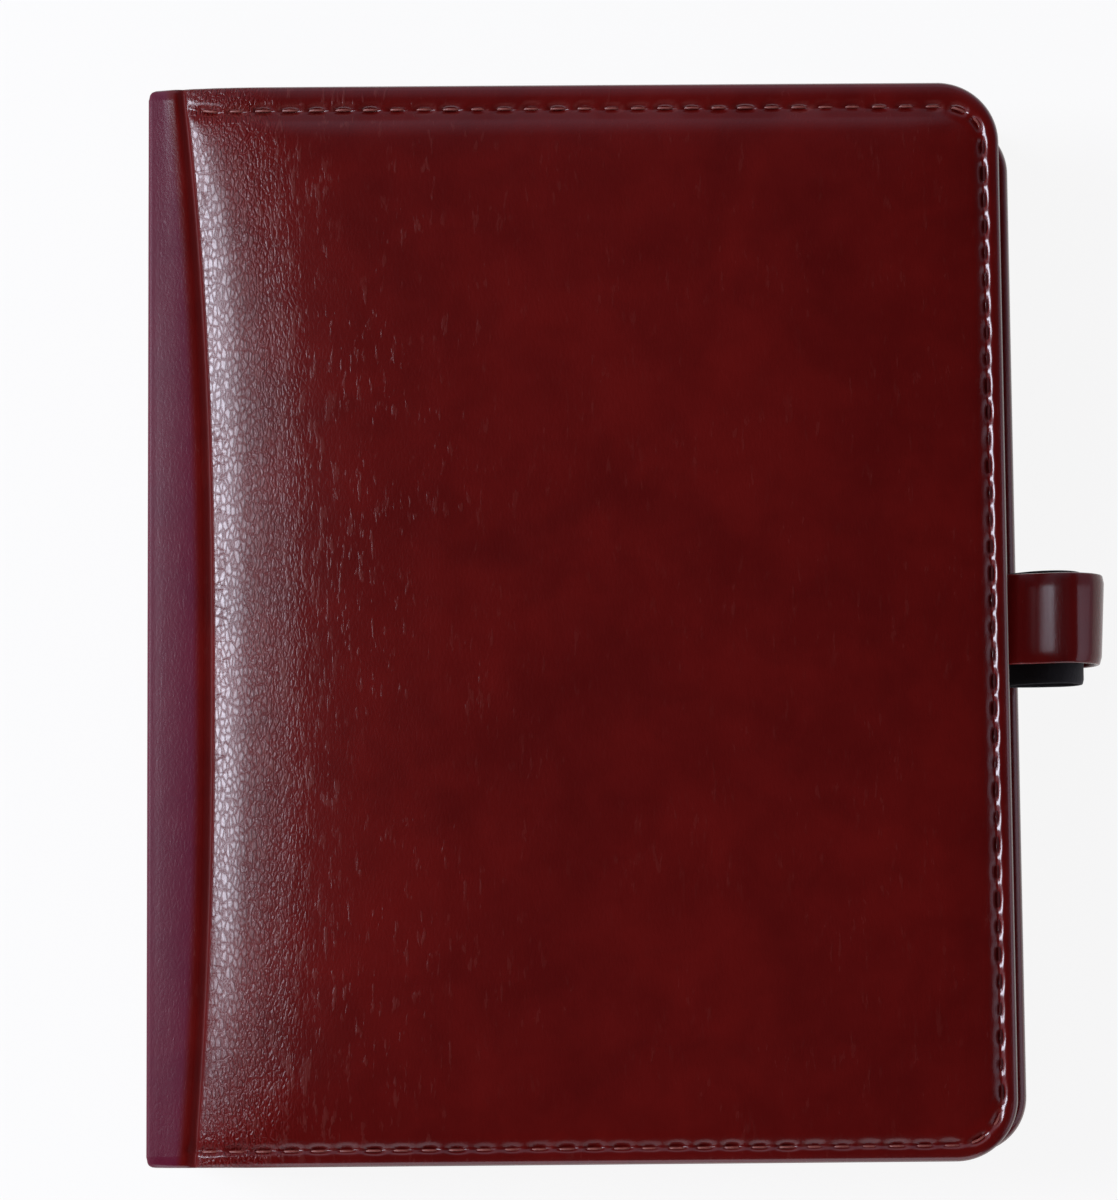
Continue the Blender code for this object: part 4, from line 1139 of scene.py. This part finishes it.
RAIL_HALF = local_box("upper_rail")[1][1]
RAIL_NEAR = np.array([5.45, 0.15])
RAIL_FAR = np.array([3.65, 4.15])
RAIL_PLATE = 0.6
RAIL_EDGE = 0.05
RAIL_STEPS = 2
rail_way = (RAIL_FAR - RAIL_NEAR) / np.linalg.norm(RAIL_FAR - RAIL_NEAR)
rail_under = np.array([-rail_way[1], rail_way[0]]) * RAIL_PLATE
rail_section = np.stack([RAIL_NEAR, RAIL_NEAR + rail_under, RAIL_FAR + rail_under, RAIL_FAR])
for side, sign in (("upper", 1.0), ("lower", -1.0)):
    section = rail_section * np.array([1.0, sign]) + np.array([0.0, MIDDLE])
    section = section if sign < 0 else section[::-1]
    rail = plate(section, -RAIL_HALF, RAIL_HALF, RAIL_EDGE, "xzy", RAIL_STEPS)
    put(side + "_ring_rail", rail, metal_finish, side + "_rings", "metal", side + "_rail")

LEVER_PLATE = 0.9
LEVER_EDGE = 0.28
LEVER_STEPS = 5
LEVER_LINE = np.array(
    [[3.25, 62.8], [5.2, 62.8], [7.0, 62.82], [8.2, 63.1], [8.95, 63.7], [9.2, 64.4], [9.22, 65.12]]
)
lever_line = smooth_path(LEVER_LINE)
lever_way = unit_way(lever_line)
lever_off = np.stack([lever_way[:, 1], -lever_way[:, 0]], axis=1) * LEVER_PLATE / 2
lever_outline = np.concatenate([lever_line + lever_off, (lever_line - lever_off)[::-1]])
for end, sign in (("head", 1), ("tail", -1)):
    low, high = local_box(end + "_lever")
    section = (lever_outline * np.array([1.0, sign]))[::sign]
    lever = plate(section, low[2], high[2], LEVER_EDGE, "xyz", LEVER_STEPS)
    put(end + "_curled_lever", lever, metal_finish, end + "_lever", "metal", end + "_lever")

# Sheets on the rings

HOLE_RADIUS = 2.5
HOLE_CLEAR = 0.35
HOLE_STEPS = 14
SHEET_THICK = 0.11
SHEET_PITCH = 0.165
SHEET_STRAY = 0.10
STACK_FROM = 2 * SHEET_PITCH + 0.05
HOLE_INSET = 5.0
PAGE_WIDTH = 81.0
PAGE_HALF = 60.0
PAGE_CORNERS = (4.0, 2.0, 2.0, 4.0)
CORNER_STEPS = 5
TAB_REACH = 9.0
TAB_NEAR = 18.0
TAB_FAR = 46.8
TAB_ROOT = 4.0
TAB_CUT = 1.0
TAB_CORNERS = (2.0, 0.1, 0.1, 2.0)
LEAST_LEAN = 0.05
SHEET_CREASE = 30.0
hole_turn = 2 * math.pi * np.arange(HOLE_STEPS) / HOLE_STEPS
hole_ring = HOLE_RADIUS * np.stack([np.cos(hole_turn), np.sin(hole_turn)], axis=1)


def hole_x(away):
    """Where a sheet's holes lie at a height: the ring's inner side, with the wire's slant and clearance."""
    lean = np.sqrt(np.maximum(1 - (away / RING_RADIUS) ** 2, LEAST_LEAN))
    return RING_X + RING_RADIUS * lean - WIRE_RADIUS / lean - HOLE_CLEAR + HOLE_RADIUS


def tabbed(outline, low, high):
    """An outline with a round-cornered tab added on its right side, from low to high along y."""
    right = outline[:, 0].max()
    tab = rounded_outline(right - TAB_ROOT, right + TAB_REACH, low, high, TAB_CORNERS, CORNER_STEPS)
    tab = tab[tab[:, 0] > right - TAB_CUT]
    is_upper = tab[:, 1] > (low + high) / 2
    turn = int(np.argmax(outline[:, 0] - LEAST_GAP * outline[:, 1]))
    order = np.roll(outline, -turn - 1, axis=0)
    return np.concatenate([[[right, low]], tab[~is_upper], tab[is_upper], [[right, high]], order])


def ring_sheet(name, node, body, slot, finish, tab=None):
    """Sheets that fill a CAD block's height: one leaf or divider, or several pages with slight strays."""
    low, high = local_box(node)
    thick = high[2] - low[2]
    several = thick > STACK_FROM
    count = int(thick / SHEET_PITCH) if several else 1
    lows = low[2] + (thick - SHEET_THICK) * np.arange(count) / max(count - 1, 1) if several else low[2:3]
    away = np.abs(lows + thick / 2 / count - MIDDLE)
    shifts = np.stack([hole_x(away) - hole_x(0.0), np.zeros(count)], axis=1)
    if several:
        shifts = shifts + RANDOM.uniform(-SHEET_STRAY, SHEET_STRAY, shifts.shape)
    base = hole_x(0.0)
    left = base - HOLE_INSET
    outline = rounded_outline(left, left + PAGE_WIDTH, -PAGE_HALF, PAGE_HALF, PAGE_CORNERS, CORNER_STEPS)
    if tab:
        outline = tabbed(outline, *tab)
    holes = [hole_ring + np.array([base, ring_y]) for ring_y in RING_YS]
    sheets = punched_sheets(outline, holes, lows, SHEET_THICK if several else thick, shifts)
    put(name, sheets, finish, body, slot, node, crease=SHEET_CREASE)


ring_sheet("frosted_leaf_front", "flyleaf_front", "upper_pages", "flyleaf", film_finish)
ring_sheet("ruled_sheets_a", "pages_a", "upper_pages", "paper", paper_finish)
ring_sheet("tab_card_front", "divider_front", "upper_pages", "divider", divider_finish, (TAB_NEAR, TAB_FAR))
ring_sheet("ruled_sheets_b", "pages_b", "upper_pages", "paper", paper_finish)
ring_sheet("ruled_sheets_c", "pages_c", "lower_pages", "paper", paper_finish)
ring_sheet("tab_card_back", "divider_back", "lower_pages", "divider", divider_finish, (-TAB_FAR, -TAB_NEAR))
ring_sheet("ruled_sheets_d", "pages_d", "lower_pages", "paper", paper_finish)
ring_sheet("frosted_leaf_back", "flyleaf_back", "lower_pages", "flyleaf", film_finish)

# Pen loop

LOOP_LOW, LOOP_HIGH = local_box("pen_loop_band")
LOOP_RADIUS = 5.9
LOOP_BAND = 1.0
LOOP_X = LOOP_HIGH[0] - LOOP_RADIUS
LOOP_Z = LOOP_HIGH[2] - LOOP_RADIUS
LOOP_Y = (LOOP_LOW[1] + LOOP_HIGH[1]) / 2
LOOP_HALF = (LOOP_HIGH[1] - LOOP_LOW[1]) / 2
TONGUE_Z = LOOP_LOW[2] + LOOP_BAND / 2
ELASTIC_LOW, ELASTIC_HIGH = local_box("pen_loop_elastic")
ELASTIC_BAND = 0.7
ELASTIC_RADIUS = 3.9
LOOP_TURN = math.radians(66.0)
TURN_STEPS = 9
TONGUE_SHORT = 2.0
EDGE_STEPS = 7
FLAT_STEPS = 9
LOOP_EDGE = 0.62
LOOP_FALL = 1.1
LOOP_CREASE = 60.0


def loop_path(start_x, low_z, radius, centre, over):
    """From the tongue under the loop, round a circle, then over the top and down to a second layer.

    The circle is centre + radius * (cos t, sin t) from straight down to LOOP_TURN; over holds the rest.
    """
    bottom_x = np.array([start_x, (start_x + centre[0]) / 2, centre[0] - TONGUE_SHORT])
    bottom = np.stack([bottom_x, np.full(len(bottom_x), low_z)], axis=1)
    turn = np.linspace(-math.pi / 2, LOOP_TURN, TURN_STEPS)
    circle = np.array(centre) + radius * np.stack([np.cos(turn), np.sin(turn)], axis=1)
    return smooth_path(np.concatenate([bottom, circle, over]))


def strip_profile(centre_y, half, thick, edge_thick, fall):
    """A flat strip's closed section: thick in the middle, falling towards thinner round edges."""
    inner = half - fall
    round_half = edge_thick / 2
    turn = np.linspace(-math.pi / 2, math.pi / 2, EDGE_STEPS)
    right = np.stack([half - round_half + round_half * np.cos(turn), round_half * np.sin(turn)], axis=1)
    across = np.linspace(inner, -inner, FLAT_STEPS)
    top = np.stack([across, np.full(FLAT_STEPS, thick / 2)], axis=1)
    section = np.concatenate([right, top, -right, -top])
    return section + np.array([centre_y, 0.0])


# Points over the loop, across and up from its middle, then along the second layer from the tongue's end
LOOP_OVER = np.array(
    [
        [1.2, 5.37], [0.2, 5.30], [-0.9, 5.06], [-1.9, 4.73], [-2.9, 4.38], [-3.8, 4.08], [-4.9, 3.80],
        [-6.1, 3.56], [-7.0, 3.05], [-7.5, 2.1], [-7.8, 0.8], [-8.3, -0.9], [-9.3, -2.3],
    ]
)
LOOP_LAYER = np.array([[4.6, 2.5], [3.0, 2.45], [1.2, 2.45]])
LOOP_SLANT = 0.05
loop_centre = np.array([LOOP_X, LOOP_Z])
layer_start = np.array([LOOP_LOW[0], TONGUE_Z])
loop_over = np.concatenate([LOOP_OVER + loop_centre, LOOP_LAYER + layer_start])
loop_line = loop_path(LOOP_LOW[0], TONGUE_Z, LOOP_RADIUS - LOOP_BAND / 2, loop_centre, loop_over)
loop_points, loop_faces = band(loop_line, strip_profile(LOOP_Y, LOOP_HALF, LOOP_BAND, LOOP_EDGE, LOOP_FALL))
raised = np.clip((loop_points[:, 2] - TONGUE_Z) / (2 * LOOP_RADIUS), 0, 1)
loop_points[:, 0] += LOOP_SLANT * (loop_points[:, 1] - LOOP_Y) * raised * (1 - raised) * 4
put(
    "pen_loop_leather", (loop_points, loop_faces), loop_finish,
    "back_cover", "loop_leather", "pen_loop_band", crease=LOOP_CREASE,
)

ELASTIC_Y = (ELASTIC_LOW[1] + ELASTIC_HIGH[1]) / 2
ELASTIC_HALF = (ELASTIC_HIGH[1] - ELASTIC_LOW[1]) / 2
ELASTIC_OVER = np.array([[0.3, 3.55], [-1.4, 3.3], [-3.0, 2.45], [-4.3, 1.2], [-5.7, -0.5], [-7.0, -1.9]])
ELASTIC_LAYER = np.array([[6.4, 1.68], [4.8, 1.6], [3.2, 1.6]])
ELASTIC_DROP = 0.55
ELASTIC_START = layer_start + np.array([2.0, 0.87])
ELASTIC_EDGE = 0.5
ELASTIC_FALL = 0.7
elastic_centre = np.array([ELASTIC_HIGH[0] - ELASTIC_RADIUS, LOOP_Z - ELASTIC_DROP])
elastic_over = np.concatenate([ELASTIC_OVER + elastic_centre, ELASTIC_LAYER + layer_start])
elastic_line = loop_path(*ELASTIC_START, ELASTIC_RADIUS - ELASTIC_BAND / 2, elastic_centre, elastic_over)
elastic_profile = strip_profile(ELASTIC_Y, ELASTIC_HALF, ELASTIC_BAND, ELASTIC_EDGE, ELASTIC_FALL)
put(
    "ribbed_elastic_ring", band(elastic_line, elastic_profile), elastic_finish,
    "back_cover", "elastic", "pen_loop_elastic", crease=LOOP_CREASE,
)

# Lights, floor and camera


def add_lamp(name, place, target, size, watts, shade):
    """A rectangular soft lamp at a place, turned to a target; both in millimetres of the row frame."""
    data = bpy.data.lights.new(name, "AREA")
    data.shape = "RECTANGLE"
    data.size = size[0] * MM
    data.size_y = size[1] * MM
    data.energy = watts
    data.color = shade
    lamp = bpy.data.objects.new(name, data)
    lamp.location = Vector(place) * MM
    lamp.rotation_mode = "QUATERNION"
    lamp.rotation_quaternion = (Vector(target) - Vector(place)).to_track_quat("-Z", "Y")
    bpy.context.scene.collection.objects.link(lamp)
    return lamp


BOOK_MIDDLE = (0.0, 0.0, 15.0)
SOFTBOX_PLACE = (-560.0, 95.0, 745.0)
SOFTBOX_SIZE = (280.0, 1040.0)
softbox = add_lamp("left_softbox", SOFTBOX_PLACE, BOOK_MIDDLE, SOFTBOX_SIZE, 12.4, (1.0, 1.05, 1.22))
FADE_START = 0.46
FADE_END = 0.885
FADE_POWER = 2.9
softbox.data.use_nodes = True
panel = Flow(softbox.data.node_tree)
upper = panel.make("ShaderNodeNewGeometry", {}, {}, "Parametric").part("Y")
fade = ((FADE_END - upper) / (FADE_END - FADE_START)).most(0.0).least(1.0) ** FADE_POWER
panel_light = panel.tree.nodes["Emission"]
panel.tree.links.new(fade.socket, panel_light.inputs["Strength"])
add_lamp("tail_fill", (-10.0, -690.0, 250.0), BOOK_MIDDLE, (800.0, 420.0), 1.1, (1.0, 0.95, 1.04))
add_lamp("right_fill", (720.0, -150.0, 360.0), BOOK_MIDDLE, (600.0, 360.0), 0.6, (1.0, 0.92, 1.12))

world = bpy.data.worlds.new("studio")
bpy.context.scene.world = world
world.use_nodes = True
RIGHT_DARKER = 0.45
TAIL_DARKER = 0.35
sky = Flow(world.node_tree)
heading = sky.make("ShaderNodeTexCoord", {}, {}, "Generated")
upward = heading.part("Z") + heading.part("X").most(0.0) * RIGHT_DARKER
upward = upward - heading.part("Y").least(0.0) * TAIL_DARKER
SKY_STOPS = (
    (0.0, (0.30, 0.27, 0.36)),
    (0.35, (0.46, 0.43, 0.54)),
    (0.66, (0.46, 0.42, 0.55)),
    (0.90, (0.03, 0.028, 0.036)),
    (1.0, (0.012, 0.012, 0.014)),
)
shade = sky.make("ShaderNodeValToRGB", {"stops": SKY_STOPS}, {"Fac": upward})
background = world.node_tree.nodes["Background"]
world.node_tree.links.new(shade.socket, background.inputs["Color"])
background.inputs["Strength"].default_value = 1.0
camera_ray = sky.make("ShaderNodeLightPath", {}, {}, "Is Camera Ray")
plain = sky.make("ShaderNodeBackground", {}, {"Color": colour(1.0, 1.0, 1.0), "Strength": 1.0})
dome = sky.make(
    "ShaderNodeMixShader", {}, {0: camera_ray, 1: Flow(world.node_tree, background.outputs[0]), 2: plain}
)
world.node_tree.links.new(dome.socket, world.node_tree.nodes["World Output"].inputs["Surface"])

FLOOR_HALF = 3000.0
FLOOR_DROP = 0.2
floor_finish = Finish("pale_floor")
floor_cloud = floor_finish.place().noise(0.004)
floor_shade = floor_cloud.mix(colour(0.90, 0.90, 0.90), colour(0.93, 0.93, 0.93))
floor_finish.set(Base_Color=floor_shade, Roughness=0.9)
PLAIN_WHITE = 0.90
seen = floor_finish.flow.make("ShaderNodeLightPath", {}, {}, "Is Camera Ray")
rays = seen.socket.node.outputs
for kind in ("Is Glossy Ray", "Is Transmission Ray"):
    seen = seen.most(Flow(floor_finish.tree, rays[kind]))
white = floor_finish.flow.make("ShaderNodeEmission", {}, {"Color": colour(1.0, 1.0, 1.0), "Strength": 1.0})
floor_look = floor_finish.flow.make(
    "ShaderNodeMixShader",
    {},
    {0: seen * PLAIN_WHITE, 1: Flow(floor_finish.tree, floor_finish.shader.outputs[0]), 2: white},
)
floor_output = floor_finish.tree.nodes["Material Output"]
floor_finish.tree.links.new(floor_look.socket, floor_output.inputs["Surface"])
floor_mesh = bpy.data.meshes.new("floor")
floor_corners = np.array([[-1, -1], [1, -1], [1, 1], [-1, 1]]) * FLOOR_HALF * MM
floor_points = np.column_stack([floor_corners, np.full(4, -FLOOR_DROP * MM)])
floor_mesh.from_pydata(floor_points.tolist(), [], [[0, 1, 2, 3]])
floor_mesh.materials.append(floor_finish.material)
floor = bpy.data.objects.new("floor", floor_mesh)
bpy.context.scene.collection.objects.link(floor)

CAMERA_PLACE = (48.8, -44.5, 500.1)
CAMERA_TURN = (5.62, -0.50, -0.49)
FOCAL_PIXELS = 3700.0
IMAGE_LONG = 1200.0
SENSOR = 36.0
camera_data = bpy.data.cameras.new("camera")
camera_data.sensor_width = SENSOR
camera_data.lens = FOCAL_PIXELS * SENSOR / IMAGE_LONG
camera_data.clip_start = 0.01
camera_data.clip_end = 20.0
camera = bpy.data.objects.new("camera", camera_data)
camera.location = (np.array(CAMERA_PLACE) + (X_ORIGIN, 0.0, 0.0)) * MM
camera.rotation_euler = [math.radians(angle) for angle in CAMERA_TURN]
bpy.context.scene.collection.objects.link(camera)
bpy.context.scene.camera = camera
bpy.context.scene.view_settings.view_transform = "Standard"
